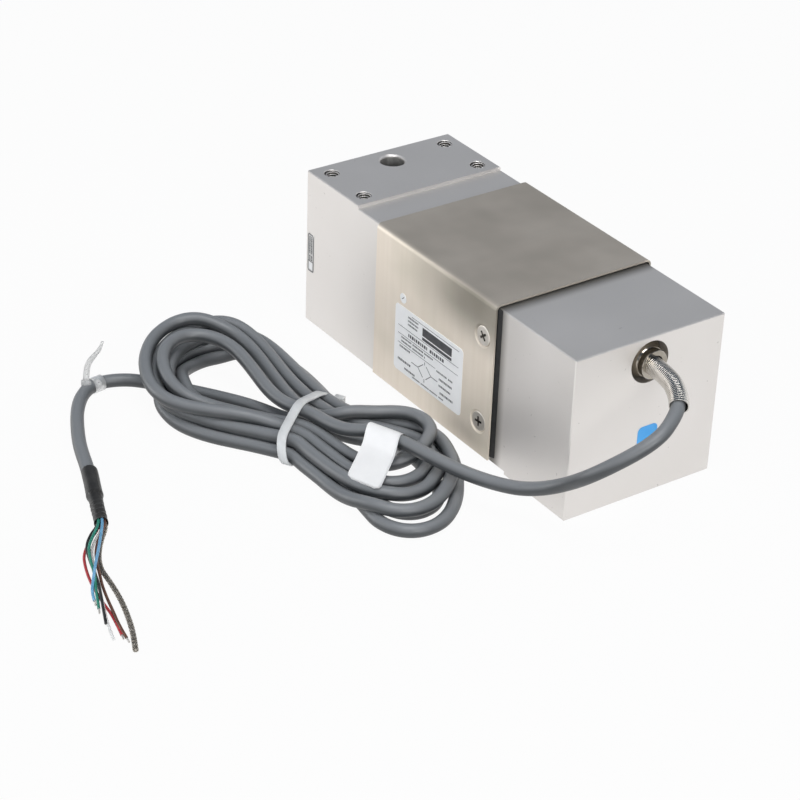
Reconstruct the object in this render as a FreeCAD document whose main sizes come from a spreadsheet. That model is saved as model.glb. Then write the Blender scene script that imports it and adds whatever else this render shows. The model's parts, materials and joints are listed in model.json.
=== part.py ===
import FreeCAD, Part
import math
import os
import re
import Sketcher
from FreeCAD import Placement, Rotation, Vector

# Single point load cell, in millimetres.
# Origin: centre of the block's footprint, on the plane of its base pad.
# +X runs from the live end to the fixed end, where the cable leaves. +Z is up.

doc = FreeCAD.newDocument("single_point_load_cell")
sizes = doc.addObject("Spreadsheet::Sheet", "sizes")

DRIVING_SIZES = {
    # Block: a load pad on top of the live end, a base pad under the fixed end
    "block_length": 191,
    "block_width": 75,
    "block_height": 75,
    "pad_length": 40,
    "pad_step": 1.5,
    "block_edge": 0.4,
    # Tapped holes of both pads, and the plain hole between those of the load pad
    "bolt_core": 5,
    "bolt_mouth": 7.2,
    "bolt_depth": 15,
    "bolt_pitch_long": 25,
    "bolt_pitch_wide": 60,
    "bolt_end": 8,
    "stop_bore": 11,
    "stop_mouth": 12.4,
    "stop_end": 10.6,
    # Gauge window across the block: thin webs at its four corners, a rib on each beam
    "window_length": 66,
    "web": 6,
    "rib_length": 22,
    "rib_depth": 8.5,
    "window_fillet": 8,
    "rib_fillet": 3.5,
    # Folded cover, which laps over both ends of the window
    "sheet": 0.8,
    "cover_side_gap": 1.2,
    "cover_top_gap": 0.6,
    "cover_live_lap": 4.9,
    "cover_fixed_lap": 13.4,
    "cover_skirt": 2.8,
    "bend_radius": 1.6,
    # Cover screws, each in a pressed dimple that stands on the block
    "screw_inset": 8,
    "screw_pitch": 40,
    "screw_core": 4.2,
    "screw_depth": 12,
    "screw_length": 9,
    "screw_clearance": 0.05,
    "dimple_mouth": 10.6,
    "head_sink": 0.35,
    "cross_width": 1.1,
    "cross_span": 5.2,
    "cross_depth": 1.2,
    # Strain gauges, their board and the wiring in the window
    "gauge_length": 9,
    "gauge_width": 6,
    "gauge_foil": 0.15,
    "board_length": 14,
    "board_width": 34,
    "board_thick": 1.6,
    "resistor_length": 3.2,
    "resistor_width": 1.6,
    "resistor_height": 0.6,
    "resistor_pitch": 6,
    "gauge_lead_d": 0.5,
    "gauge_lead_rise": 2,
    "gauge_lead_drop": 6,
    "inner_lead_d": 3.2,
    # Cable entry in the fixed end's face
    "gland_drop": 11.3,
    "gland_recess": 18.6,
    "gland_recess_depth": 8,
    "gland_clearance": 0.2,
    "gland_flange": 3,
    "gland_dome_mouth": 13,
    "gland_spigot": 8,
    "passage": 8,
    "seal_d": 10,
    "seal_length": 3,
    "collar_d": 12.6,
    "collar_length": 3,
    # Cable, guard, sleeve and what is tied to it
    "cable_d": 5.8,
    "cable_clearance": 0.2,
    "guard_d": 8,
    "guard_wire": 0.7,
    "guard_seat": 3,
    "sleeve_wall": 0.4,
    "sleeve_clearance": 0.05,
    "sleeve_length": 41,
    "sleeve_grip": 21,
    "sleeve_shoulder": 5,
    "sleeve_mouth": 5.5,
    "sleeve_overlap": 9,
    "core_d": 1.2,
    "core_ring": 3.4,
    "braid_d": 2,
    "tie_width": 2.6,
    "tie_thick": 1.1,
    "tie_clearance": 0.2,
    "tie_corner": 2.2,
    "tie_head": 5.2,
    "tie_head_depth": 3.3,
    "flag_length": 29,
    "flag_width": 16.5,
    "flag_thick": 0.4,
    "flag_clearance": 0.5,
    "tail_tie_width": 3.8,
    "tail_tie_thick": 0.6,
    "tail_tie_clearance": 0.25,
    "tail_tie_head": 3,
    "tail_tie_strap": 22,
    "tail_tie_strap_width": 2.6,
    # Hank: heights of its two loops and of the tied waist between them
    "hank_left_height": 20,
    "hank_right_height": 10,
    "hank_waist_height": 20,
    "hank_waist_length": 36,
    "hank_waist_width": 44,
    "hank_corner": 9,
    # Labels
    "label_thick": 0.1,
    "label_corner": 2,
    "rating_length": 48.8,
    "rating_height": 31.5,
    "rating_inset": 15.6,
    "rating_base": 13.5,
    "dot_d": 4.5,
    "dot_inset": 20.8,
    "dot_base": 48.8,
    "seal_label_length": 5,
    "seal_label_height": 18.8,
    "seal_label_inset": 1.4,
    "seal_label_base": 26.8,
    "end_label_side": 10,
    "end_label_offset": 2.2,
    "end_label_base": 22.4,
}

for row, (alias, number) in enumerate(DRIVING_SIZES.items(), start=1):
    sizes.set(f"A{row}", alias)
    sizes.set(f"B{row}", str(number))
    sizes.setAlias(f"B{row}", alias)
doc.recompute()

# Share of the shorter run that each arc of a cord takes up
ARC_SHARE = 0.45
# Directions in plan: along the tied waist of the hank, and along the sleeve on the tail
WAIST_TURN = 22.5
SLEEVE_TURN = -21.3

nodes = []


def size(text):
    """Number that an expression over the sheet's aliases gives."""
    return float(sizes.evalExpression(text))


def bound(text):
    """The same expression, as the other objects of the document read it."""
    return re.sub(r"[a-z][a-z_0-9]*", lambda name: "sizes." + name.group(), text)


def bind(thing, **expressions):
    for name, text in expressions.items():
        thing.setExpression(name.replace("__", "."), bound(text))


def node(thing, label):
    """Marks an object of the document as a sub-part, with its name."""
    thing.Label = label
    nodes.append(thing)
    return thing


# Helpers for bodies and sketches
def new_body(name):
    return doc.addObject("PartDesign::Body", name)


def new_sketch(body, name, role, offset="0"):
    sketch = body.newObject("Sketcher::SketchObject", name)
    plane = next(p for p in body.Origin.OriginFeatures if p.Role == role)
    sketch.AttachmentSupport = [(plane, "")]
    sketch.MapMode = "FlatFace"
    sketch.setExpression("AttachmentOffset.Base.z", bound(offset))
    return sketch


def tie_down(sketch, kind, text, *places):
    """Adds a constraint whose value is bound to the sheet."""
    index = sketch.addConstraint(Sketcher.Constraint(kind, *places, size(text)))
    sketch.setExpression(f"Constraints[{index}]", bound(text))


def pin_point(sketch, line, end, x, y):
    for kind, axis, text in (("DistanceX", -2, x), ("DistanceY", -1, y)):
        if text == "0":
            sketch.addConstraint(Sketcher.Constraint("PointOnObject", line, end, axis))
        else:
            tie_down(sketch, kind, text, -1, 1, line, end)


def polygon(sketch, corners):
    """Closed outline through corners that are pairs of expressions."""
    spots = [Vector(size(x), size(y), 0) for x, y in corners]
    lines = []
    for start, end in zip(spots, spots[1:] + spots[:1]):
        lines.append(sketch.addGeometry(Part.LineSegment(start, end), False))
    for line, following in zip(lines, lines[1:] + lines[:1]):
        sketch.addConstraint(Sketcher.Constraint("Coincident", line, 2, following, 1))
    for line, (x, y) in zip(lines, corners):
        pin_point(sketch, line, 1, x, y)
    return sketch


def rectangle(sketch, x0, x1, y0, y1):
    return polygon(sketch, [(x0, y0), (x1, y0), (x1, y1), (x0, y1)])


def circle(sketch, x, y, diameter):
    centre = Vector(size(x), size(y), 0)
    ring = sketch.addGeometry(Part.Circle(centre, Vector(0, 0, 1), size(diameter) / 2), False)
    pin_point(sketch, ring, 3, x, y)
    tie_down(sketch, "Diameter", diameter, ring)
    return sketch


def pad(body, sketch, length, midplane=False):
    feature = body.newObject("PartDesign::Pad", sketch.Name + "_pad")
    feature.Profile = sketch
    feature.Midplane = midplane
    bind(feature, Length=length)
    doc.recompute()
    return feature


def pocket(body, sketch, depth=None, reverse=False):
    """Cuts a sketch into its body, to a depth or right through."""
    before = body.Shape.Volume
    feature = body.newObject("PartDesign::Pocket", sketch.Name + "_cut")
    feature.Profile = sketch
    feature.Reversed = reverse
    if depth is None:
        feature.Type = "ThroughAll"
        feature.Midplane = True
    else:
        bind(feature, Length=depth)
    doc.recompute()
    if body.Shape.Volume >= before:
        raise RuntimeError(sketch.Name + " cuts nothing")
    return feature


def countersunk_hole(body, sketch, bore, mouth, depth=None, reverse=False):
    before = body.Shape.Volume
    doc.recompute()
    feature = body.newObject("PartDesign::Hole", sketch.Name + "_hole")
    feature.Profile = sketch
    feature.Reversed = reverse
    feature.HoleCutType = "Countersink"
    feature.HoleCutCountersinkAngle = 90
    bind(feature, Diameter=bore, HoleCutDiameter=mouth)
    if depth is None:
        feature.DepthType = "ThroughAll"
    else:
        feature.DepthType = "Dimension"
        bind(feature, Depth=depth)
    doc.recompute()
    if body.Shape.Volume >= before:
        raise RuntimeError(sketch.Name + " cuts nothing")
    return feature


def dress_edges(body, kind, chosen, **expressions):
    """Rounds or breaks the edges that a test chooses on the body's last feature."""
    base = body.Tip
    names = [f"Edge{i}" for i, edge in enumerate(base.Shape.Edges, start=1) if chosen(edge)]
    feature = body.newObject("PartDesign::" + kind, f"{body.Name}_{kind}_{len(body.Group)}")
    feature.Base = (base, names)
    bind(feature, **expressions)
    doc.recompute()
    return feature


def ends(edge):
    return [vertex.Point for vertex in edge.Vertexes]


def runs_along(edge, axis):
    """True for a straight edge along a unit vector."""
    if edge.Curve.TypeId != "Part::GeomLine":
        return False
    return abs(abs(edge.Curve.Direction.dot(axis)) - 1) < 1e-6


def near(a, b):
    return abs(a - b) < 1e-4


# Helpers for primitives and free shapes
def box(name, length, width, height, x, y, z):
    """Box centred on x and y, standing on z."""
    solid = doc.addObject("Part::Box", name)
    bind(solid, Length=length, Width=width, Height=height)
    bind(solid, Placement__Base__x=f"{x} - ({length}) / 2")
    bind(solid, Placement__Base__y=f"{y} - ({width}) / 2")
    bind(solid, Placement__Base__z=z)
    return solid


def feature(name, shape, placement=Placement()):
    solid = doc.addObject("Part::Feature", name)
    solid.Shape = shape
    solid.Placement = placement
    return solid


def turned(profile):
    """Solid of revolution about X, from a closed profile of (x, radius) pairs."""
    corners = [Vector(x, 0, radius) for x, radius in profile]
    face = Part.Face(Part.makePolygon(corners + corners[:1]))
    return face.revolve(Vector(0, 0, 0), Vector(1, 0, 0), 360)


def cord_path(points):
    """Straight runs joined by tangent arcs, each as large as its two runs allow."""
    edges = []
    radii = []
    start = points[0]
    for before, corner, after in zip(points, points[1:], points[2:]):
        back = before - corner
        ahead = after - corner
        reach = ARC_SHARE * min(back.Length, ahead.Length)
        back.normalize()
        ahead.normalize()
        half_turn = (math.pi - back.getAngle(ahead)) / 2
        radius = reach / math.tan(half_turn)
        inward = (back + ahead).normalize()
        first = corner + back * reach
        last = corner + ahead * reach
        middle = corner + inward * (radius / math.cos(half_turn) - radius)
        edges.append(Part.LineSegment(start, first).toShape())
        edges.append(Part.Arc(first, middle, last).toShape())
        radii.append(radius)
        start = last
    edges.append(Part.LineSegment(start, points[-1]).toShape())
    return edges, radii


def tube_along(edges, diameter):
    """Round solid of one diameter along a path of edges."""
    wire = Part.Wire(edges)
    first = edges[0]
    along = first.tangentAt(first.FirstParameter)
    section = Part.Wire(Part.makeCircle(diameter / 2, first.Vertexes[0].Point, along))
    solid = wire.makePipeShell([section], True, False)
    expected = math.pi * diameter ** 2 / 4 * wire.Length
    if abs(solid.Volume / expected - 1) > 0.002:
        raise RuntimeError("tube volume is off")
    return solid


def cord(name, points, diameter):
    edges, radii = cord_path(points)
    shortest = min(radii) / diameter
    print(f"{name}: length {sum(e.Length for e in edges):.0f}, radii", end=" ")
    print(" ".join(f"{radius:.0f}" for radius in radii), f"least {shortest:.1f} diameters")
    return node(feature(name, tube_along(edges, diameter)), name)


# Places that several pieces share
LIVE_FACE = "(-block_length / 2)"
FIXED_FACE = "block_length / 2"
LEFT_FACE = "(-block_width / 2)"
TOP_FACE = "(block_height - pad_step)"
COVER_STAND = "(cover_side_gap + sheet)"
COVER_OUTER = "(block_width / 2 + cover_side_gap + sheet)"
COVER_TOP = "(block_height - pad_step + cover_top_gap + sheet)"
COVER_LIVE = "(-window_length / 2 - cover_live_lap)"
COVER_FIXED = "(window_length / 2 + cover_fixed_lap)"
SCREW_X = f"({COVER_FIXED} - screw_inset)"
SCREW_LOW = "(block_height / 2 - screw_pitch / 2)"
SCREW_HIGH = "(block_height / 2 + screw_pitch / 2)"
WINDOW_LOW = "(pad_step + web)"
WINDOW_HIGH = f"({TOP_FACE} - web)"
RIB_LOW = f"({WINDOW_LOW} + rib_depth)"
RIB_HIGH = f"({WINDOW_HIGH} - rib_depth)"
BOARD_TOP = f"({RIB_LOW} + board_thick)"
RECESS_FLOOR = f"({FIXED_FACE} - gland_recess_depth)"
GLAND_HEIGHT = f"({TOP_FACE} - gland_drop)"


# Block
def make_spring_element():
    body = new_body("spring_element")
    side = new_sketch(body, "block_side", "XZ_Plane")
    polygon(side, [
        (LIVE_FACE, "pad_step"),
        (f"{FIXED_FACE} - pad_length", "pad_step"),
        (f"{FIXED_FACE} - pad_length", "0"),
        (FIXED_FACE, "0"),
        (FIXED_FACE, TOP_FACE),
        (f"{LIVE_FACE} + pad_length", TOP_FACE),
        (f"{LIVE_FACE} + pad_length", "block_height"),
        (LIVE_FACE, "block_height"),
    ])
    pad(body, side, "block_width", midplane=True)

    half_length = size(FIXED_FACE)
    half_width = size("block_width / 2")

    def outer_edge(edge):
        at_end = all(near(abs(point.x), half_length) for point in ends(edge))
        at_side = all(near(abs(point.y), half_width) for point in ends(edge))
        return at_end or (at_side and runs_along(edge, Vector(1, 0, 0)))

    dress_edges(body, "Chamfer", outer_edge, Size="block_edge")

    window = new_sketch(body, "window", "XZ_Plane")
    rib = "rib_length / 2"
    end = "window_length / 2"
    polygon(window, [
        (f"-{end}", WINDOW_LOW), (f"-{rib}", WINDOW_LOW), (f"-{rib}", RIB_LOW),
        (rib, RIB_LOW), (rib, WINDOW_LOW), (end, WINDOW_LOW),
        (end, WINDOW_HIGH), (rib, WINDOW_HIGH), (rib, RIB_HIGH),
        (f"-{rib}", RIB_HIGH), (f"-{rib}", WINDOW_HIGH), (f"-{end}", WINDOW_HIGH),
    ])
    pocket(body, window)

    def window_edge(edge, reach):
        across = runs_along(edge, Vector(0, 1, 0))
        return across and near(abs(ends(edge)[0].x), size(reach))

    dress_edges(body, "Fillet", lambda edge: window_edge(edge, end), Radius="window_fillet")
    dress_edges(body, "Fillet", lambda edge: window_edge(edge, rib), Radius="rib_fillet")

    recess = new_sketch(body, "gland_recess_ring", "YZ_Plane", FIXED_FACE)
    circle(recess, "0", GLAND_HEIGHT, "gland_recess")
    pocket(body, recess, "gland_recess_depth")
    passage = new_sketch(body, "cable_passage", "YZ_Plane", RECESS_FLOOR)
    circle(passage, "0", GLAND_HEIGHT, "passage")
    pocket(body, passage, f"{RECESS_FLOOR} - {end} + window_fillet")

    live_row = f"{LIVE_FACE} + bolt_end"
    fixed_row = f"{FIXED_FACE} - bolt_end"
    for name, level, row, step, under in (
        ("load_bolts", "block_height", live_row, "+ bolt_pitch_long", False),
        ("base_bolts", "0", fixed_row, "- bolt_pitch_long", True),
    ):
        pattern = new_sketch(body, name, "XY_Plane", level)
        for x in (row, f"{row} {step}"):
            for y in ("bolt_pitch_wide / 2", "-bolt_pitch_wide / 2"):
                circle(pattern, x, y, "bolt_core")
        countersunk_hole(body, pattern, "bolt_core", "bolt_mouth", "bolt_depth", under)
    stop = new_sketch(body, "stop_hole", "XY_Plane", "block_height")
    circle(stop, f"{LIVE_FACE} + stop_end", "0", "stop_bore")
    countersunk_hole(body, stop, "stop_bore", "stop_mouth")

    for name, offset, reverse in (("left_taps", "block_width / 2", False), ("right_taps", LEFT_FACE, True)):
        taps = new_sketch(body, name, "XZ_Plane", offset)
        for z in (SCREW_LOW, SCREW_HIGH):
            circle(taps, SCREW_X, z, "screw_core")
        pocket(body, taps, "screw_depth", reverse)
    return node(body, "spring_element")


# Cover: one folded sheet, with a conical dimple round each screw that stands on the block
def make_sheet_cover():
    blank = new_body("cover_blank")
    fold = new_sketch(blank, "cover_fold", "YZ_Plane", COVER_LIVE)
    inner = f"({COVER_OUTER} - sheet)"
    inner_top = f"({COVER_TOP} - sheet)"
    polygon(fold, [
        (f"-{COVER_OUTER}", "cover_skirt"), (f"-{inner}", "cover_skirt"), (f"-{inner}", inner_top),
        (inner, inner_top), (inner, "cover_skirt"), (COVER_OUTER, "cover_skirt"),
        (COVER_OUTER, COVER_TOP), (f"-{COVER_OUTER}", COVER_TOP),
    ])
    pad(blank, fold, f"{COVER_FIXED} - {COVER_LIVE}")

    def bend(edge, level):
        return runs_along(edge, Vector(1, 0, 0)) and near(ends(edge)[0].z, size(level))

    dress_edges(blank, "Fillet", lambda edge: bend(edge, inner_top), Radius="bend_radius")
    dress_edges(blank, "Fillet", lambda edge: bend(edge, COVER_TOP), Radius="bend_radius + sheet")

    # A cone at 45 degrees narrows by as much as it sinks
    wall = f"sheet * {math.sqrt(2)}"
    mouth = "dimple_mouth / 2"
    presses = []
    cuts = []
    for side in (-1, 1):
        for z in (SCREW_LOW, SCREW_HIGH):
            for group, radius in ((presses, f"{mouth} + {wall}"), (cuts, mouth)):
                cone = doc.addObject("Part::Cone", "dimple")
                bind(cone, Radius1=radius, Radius2=f"{radius} - {COVER_STAND}", Height=COVER_STAND)
                cone.Placement = Placement(Vector(), Rotation(Vector(0, 0, 1), Vector(0, -side, 0)))
                bind(cone, Placement__Base__x=SCREW_X, Placement__Base__z=z)
                bind(cone, Placement__Base__y=f"{side} * {COVER_OUTER}")
                group.append(cone)
    pressed = doc.addObject("Part::MultiFuse", "pressed_cover")
    pressed.Shapes = [blank] + presses
    sunk = doc.addObject("Part::MultiFuse", "dimple_hollows")
    sunk.Shapes = cuts
    cover = doc.addObject("Part::Cut", "sheet_cover")
    cover.Base = pressed
    cover.Tool = sunk
    doc.recompute()
    return node(cover, "sheet_cover")


# Countersunk cross-head screw, its head down the X axis and its top at x = 0
def screw_shape():
    clear = size("screw_clearance")
    seat = size(COVER_STAND) - clear
    sink = size("head_sink")
    top = size("dimple_mouth / 2") - clear * math.sqrt(2)
    shank = size("screw_core / 2") - clear
    tip = seat + size("screw_length")
    point = shank / 2
    body = turned([
        (sink, 0), (sink, top - sink), (seat, top - seat), (seat, shank),
        (tip - point, shank), (tip, shank - point), (tip, 0),
    ])
    wide = size("cross_width")
    span = size("cross_span")
    deep = size("cross_depth")
    flat = Part.makeBox(deep, wide, span, Vector(sink, -wide / 2, -span / 2))
    upright = Part.makeBox(deep, span, wide, Vector(sink, -span / 2, -wide / 2))
    return body.cut(flat.fuse(upright))


def make_cover_screws():
    shape = screw_shape()
    screws = []
    for side in (-1, 1):
        for z in (SCREW_LOW, SCREW_HIGH):
            spot = Vector(size(SCREW_X), side * size(COVER_OUTER), size(z))
            copy = shape.copy()
            copy.Placement = Placement(spot, Rotation(Vector(1, 0, 0), Vector(0, -side, 0)))
            screws.append(copy)
    return node(feature("cover_screws", Part.makeCompound(screws)), "cover_screws")


# Gauges on the inner faces of the webs, and their board on the lower rib
GAUGE_X = "(window_length / 4 - window_fillet / 4 - rib_fillet / 4 + rib_length / 4)"


def make_gauges():
    for end, side in (("live", "-"), ("fixed", "")):
        x = f"{side}{GAUGE_X}"
        for level, z in (("lower", WINDOW_LOW), ("upper", f"{WINDOW_HIGH} - gauge_foil")):
            name = f"gauge_{level}_{end}"
            node(box(name, "gauge_length", "gauge_width", "gauge_foil", x, "0", z), name)


def make_board():
    board = box("terminal_board", "board_length", "board_width", "board_thick", "0", "0", RIB_LOW)
    node(board, "terminal_board")
    chips = []
    for place in (-2, -1, 1, 2):
        y = f"{place} * resistor_pitch"
        chip = box("resistor", "resistor_length", "resistor_width", "resistor_height", "0", y, BOARD_TOP)
        chips.append(chip)
    group = doc.addObject("Part::Compound", "trim_resistors")
    group.Links = chips
    doc.recompute()
    node(group, "trim_resistors")


def make_inner_wiring():
    wall = size("window_length / 2") - size("window_fillet") / 2
    gauge_end = size(GAUGE_X) + size("gauge_length / 2")
    lead = size("gauge_lead_d")
    board_top = size(BOARD_TOP)
    board_end = size("board_length / 2") - 2 * lead
    rise = size("gauge_lead_rise")
    drop = size("gauge_lead_drop")
    leads = []
    for side in (-1, 1):
        for across, gauge_face, away in ((1, size(WINDOW_HIGH), -1), (-1, size(WINDOW_LOW), 1)):
            y = across * size("gauge_width / 3")
            start = gauge_face + away * (size("gauge_foil") + lead / 2)
            heights = [(gauge_end - lead, start), (gauge_end + lead, start)]
            if across > 0:
                heights.append((wall, start - drop))
            heights.append((wall, board_top + drop))
            heights.append((gauge_end, board_top + rise))
            heights.append((board_end + rise, board_top + rise + lead))
            heights.append((board_end, board_top + rise))
            heights.append((board_end, board_top))
            points = [Vector(side * x, y, z) for x, z in heights]
            leads.append(tube_along(cord_path(points)[0], lead))
    node(feature("gauge_leads", Part.makeCompound(leads)), "gauge_leads")

    height = size(GLAND_HEIGHT)
    drop_x = size(GAUGE_X) + size("rib_fillet") / 2
    middle = size("block_height / 2")
    landing = size("board_length / 4")
    points = [
        Vector(size(JACKET_END), 0, height), Vector(drop_x, 0, height), Vector(drop_x, 0, middle),
        Vector(landing, 0, middle - drop_x / 4), Vector(landing, 0, board_top),
    ]
    bundle = tube_along(cord_path(points)[0], size("inner_lead_d"))
    node(feature("inner_leads", bundle), "inner_leads")


# Cable entry: domed body in the recess, rubber seal, collar and wire guard
JACKET_END = f"({RECESS_FLOOR} - gland_spigot)"
BORE = "(cable_d / 2 + cable_clearance)"


def make_gland():
    axis = Placement(Vector(0, 0, size(GLAND_HEIGHT)), Rotation())
    floor = size(RECESS_FLOOR)
    face = size(FIXED_FACE)
    flange = floor + size("gland_flange")
    clear = size("gland_clearance")
    rim = size("gland_recess / 2") - clear
    mouth = size("gland_dome_mouth / 2")
    bore = size(BORE)
    guard_bore = size("guard_d / 2") + clear / 2
    guard_start = face - size("guard_seat")
    seal_bore = size("seal_d / 2")
    seal_end = floor + size("seal_length")
    spigot = size("passage / 2") - clear
    shoulder = (rim + mouth) / 2
    body = turned([
        (floor - size("gland_spigot") + clear, bore), (floor - size("gland_spigot") + clear, spigot),
        (floor, spigot), (floor, rim), (flange, rim), ((flange + face) / 2, shoulder),
        (face, mouth), (face, guard_bore), (guard_start, guard_bore), (guard_start, bore),
        (seal_end, bore), (seal_end, seal_bore), (floor + clear, seal_bore), (floor + clear, bore),
    ])
    node(feature("gland_body", body, axis), "gland_body")
    seal = turned([
        (floor + 2 * clear, size("cable_d / 2") + clear / 4), (floor + 2 * clear, seal_bore - clear / 4),
        (seal_end - clear / 4, seal_bore - clear / 4),
        (seal_end - clear / 4, size("cable_d / 2") + clear / 4),
    ])
    node(feature("gland_seal", seal, axis), "gland_seal")
    collar_end = face + size("collar_length")
    collar_r = size("collar_d / 2")
    edge = clear
    collar = turned([
        (face, guard_bore), (face, collar_r), (collar_end - edge, collar_r),
        (collar_end, collar_r - edge), (collar_end, guard_bore),
    ])
    node(feature("gland_collar", collar, axis), "gland_collar")


# Route of the cable from the gland to the hank, and from the hank to the sleeve
def lead_points():
    height = size(GLAND_HEIGHT)
    face = size(FIXED_FACE)
    out = [
        Vector(size(JACKET_END), 0, height),
        *(Vector(face + reach, across, height - fall) for reach, across, fall in GUARD_TURN),
    ]
    laid = [
        (132.4, -25.5, 52.9), (122.8, -45.4, 40.2), (102.3, -45.3, 23.2), (89.5, -52.1, 16.6), (78.1, -58.6, 15.2),
        (65.5, -65, 15.5), (52, -70.5, 17), (37, -74.5, 17.8),
    ]
    waist_end = size("hank_waist_length / 2")
    into_waist = [
        waist_spot(waist_end + LEAD_RUN, LEAD_ACROSS, LEAD_TOP),
        waist_spot(waist_end, LEAD_ACROSS, LEAD_TOP),
    ]
    return out + [Vector(*point) for point in laid] + into_waist


# Corners of the lead's first turn, sideways and down: out from the face, across and below the gland's middle
GUARD_TURN = [(11.5, 0, 0), (24.85, -5.55, 2), (31.2, -11.9, 4.35)]
# The lead's place in the end of the waist, and its last straight run
LEAD_ACROSS = -3.5
LEAD_TOP = 16.9
LEAD_RUN = 14
# The side of the left loop that the tail leaves, the tail's place along it and its first straight run
TAIL_SIDE = [(-103, -113), (-78, -135.5)]
TAIL_SHARE = 0.776
TAIL_RUN = 5
TAIL_FLOOR = 3
TAIL_POINTS = [
    (-89.2, -139.8, 4), (-89.5, -146.4, 4), (-87.4, -152.7, 3.4), (-83.1, -157.7, 3), (-75.5, -162.4, 3),
    (-65, -167.9, 3), (-54, -172.6, 3.1), (-43.5, -176.8, 3.3),
]
SLEEVE_START = Vector(-32.6, -181.2, 3.4)


def make_guard(lead_edges):
    """Hollow guard along the lead, from its seat in the gland to the end of the second bend."""
    straight, *bends = lead_edges[:4]
    seat = size(FIXED_FACE) - size("guard_seat")
    start = Vector(seat, 0, size(GLAND_HEIGHT))
    path = [Part.LineSegment(start, straight.Vertexes[1].Point).toShape(), *bends]
    outer = tube_along(path, size("guard_d"))
    inner = tube_along(path, size("guard_d - 2 * guard_wire"))
    node(feature("spring_guard", outer.cut(inner)), "spring_guard")


# Hank: two loops and a tied waist, with a groove under the waist for the tie
WAIST_CENTRE = Vector(-10, -89, 0)
LEFT_LOOP = [
    (-22, -66), (-70, -69), (-97, -76), (-109, -100), *TAIL_SIDE, (-62, -136.5), (-26, -134), (-4, -108),
]
LEFT_OPENING = [(-38, -90), (-64, -84), (-86, -90), (-88, -102), (-72, -117), (-44, -116)]
RIGHT_LOOP = [(-24, -64), (0, -48), (28, -45), (62, -58), (83, -86), (76, -105), (42, -107), (-6, -111)]
RIGHT_OPENING = [(18, -88), (26, -66), (44, -66), (58, -80), (54, -91), (34, -95)]


def waist_spot(along, across, z):
    """Point given along and across the tied waist."""
    turn = Rotation(Vector(0, 0, 1), WAIST_TURN)
    return WAIST_CENTRE + turn.multVec(Vector(along, across, z))


def prism(corners, height, corner_radius):
    """Flat-topped solid over an outline, with its upright edges rounded."""
    outline = [Vector(x, y, 0) for x, y in corners]
    solid = Part.Face(Part.makePolygon(outline + outline[:1])).extrude(Vector(0, 0, height))
    upright = [edge for edge in solid.Edges if runs_along(edge, Vector(0, 0, 1))]
    return solid.makeFillet(corner_radius, upright)


def make_hank():
    corner = size("hank_corner")
    waist_length = size("hank_waist_length")
    waist_width = size("hank_waist_width")
    waist_height = size("hank_waist_height")
    left = prism(LEFT_LOOP, size("hank_left_height"), corner)
    left = left.cut(prism(LEFT_OPENING, waist_height, corner / 2))
    right = prism(RIGHT_LOOP, size("hank_right_height"), corner)
    right = right.cut(prism(RIGHT_OPENING, waist_height, corner / 2))
    frame = Placement(WAIST_CENTRE, Rotation(Vector(0, 0, 1), WAIST_TURN))
    waist_corner = Vector(-waist_length / 2, -waist_width / 2, 0)
    waist = Part.makeBox(waist_length, waist_width, waist_height, waist_corner)
    waist.Placement = frame
    band = size("tie_width") + 2 * size("tie_clearance")
    deep = size("tie_thick") + 2 * size("tie_clearance")
    high = waist_height - deep
    wide = 2 * waist_width
    groove = Part.makeBox(band, wide, waist_height, Vector(-band / 2, -wide / 2, 0))
    kept = Part.makeBox(band, waist_width, high, Vector(-band / 2, -waist_width / 2, deep))
    lengthwise = [edge for edge in kept.Edges if runs_along(edge, Vector(1, 0, 0))]
    groove = groove.cut(kept.makeFillet(size("tie_corner"), lengthwise))
    groove.Placement = frame
    hank = left.fuse([right, waist]).removeSplitter().cut(groove)
    node(feature("cable_hank", hank), "cable_hank")


def make_cable_tie():
    """Flat band round the waist, with its head on the far side."""
    wide = size("hank_waist_width / 2 + tie_clearance")
    low = size("tie_thick + tie_clearance")
    high = size("hank_waist_height + tie_clearance")
    thick = size("tie_thick")
    band = size("tie_width")
    corner = size("tie_corner")
    outer_corner = Vector(-band / 2, -wide - thick, low - thick)
    outer = Part.makeBox(band, 2 * (wide + thick), high - low + 2 * thick, outer_corner)
    inner = Part.makeBox(band, 2 * wide, high - low, Vector(-band / 2, -wide, low))
    along = Vector(1, 0, 0)
    outer = outer.makeFillet(corner + thick, [edge for edge in outer.Edges if runs_along(edge, along)])
    inner = inner.makeFillet(corner, [edge for edge in inner.Edges if runs_along(edge, along)])
    head_side = size("tie_head")
    head_depth = size("tie_head_depth")
    over_loop = size("hank_right_height + tie_clearance")
    head_spot = Vector(-head_side / 2, wide + thick / 2, over_loop)
    head = Part.makeBox(head_side, head_depth, head_side, head_spot)
    band_solid = outer.cut(inner).fuse(head).removeSplitter()
    placement = Placement(WAIST_CENTRE, Rotation(Vector(0, 0, 1), WAIST_TURN))
    node(feature("cable_tie", band_solid, placement), "cable_tie")


# Shrunk sleeve over the end of the jacket, closed at its mouth by the packed cores
SLEEVE = Placement(SLEEVE_START, Rotation(Vector(0, 0, 1), SLEEVE_TURN))


def sleeve_spot(along, across, z):
    """Point given from the middle of the sleeve's mouth, with its height above the floor."""
    return SLEEVE.multVec(Vector(size("sleeve_length") + along, across, z - SLEEVE_START.z))


def make_sleeve():
    bore = size("cable_d / 2 + sleeve_clearance")
    outer = bore + size("sleeve_wall")
    mouth = size("sleeve_mouth / 2")
    length = size("sleeve_length")
    grip = size("sleeve_grip")
    neck = grip + size("sleeve_shoulder")
    jacket = size("sleeve_overlap")
    sleeve = turned([
        (0, bore), (0, outer), (grip, outer), (neck, mouth),
        (length, mouth), (length, 0), (jacket, 0), (jacket, bore),
    ])
    node(feature("heat_shrink", sleeve, SLEEVE), "heat_shrink")


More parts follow.
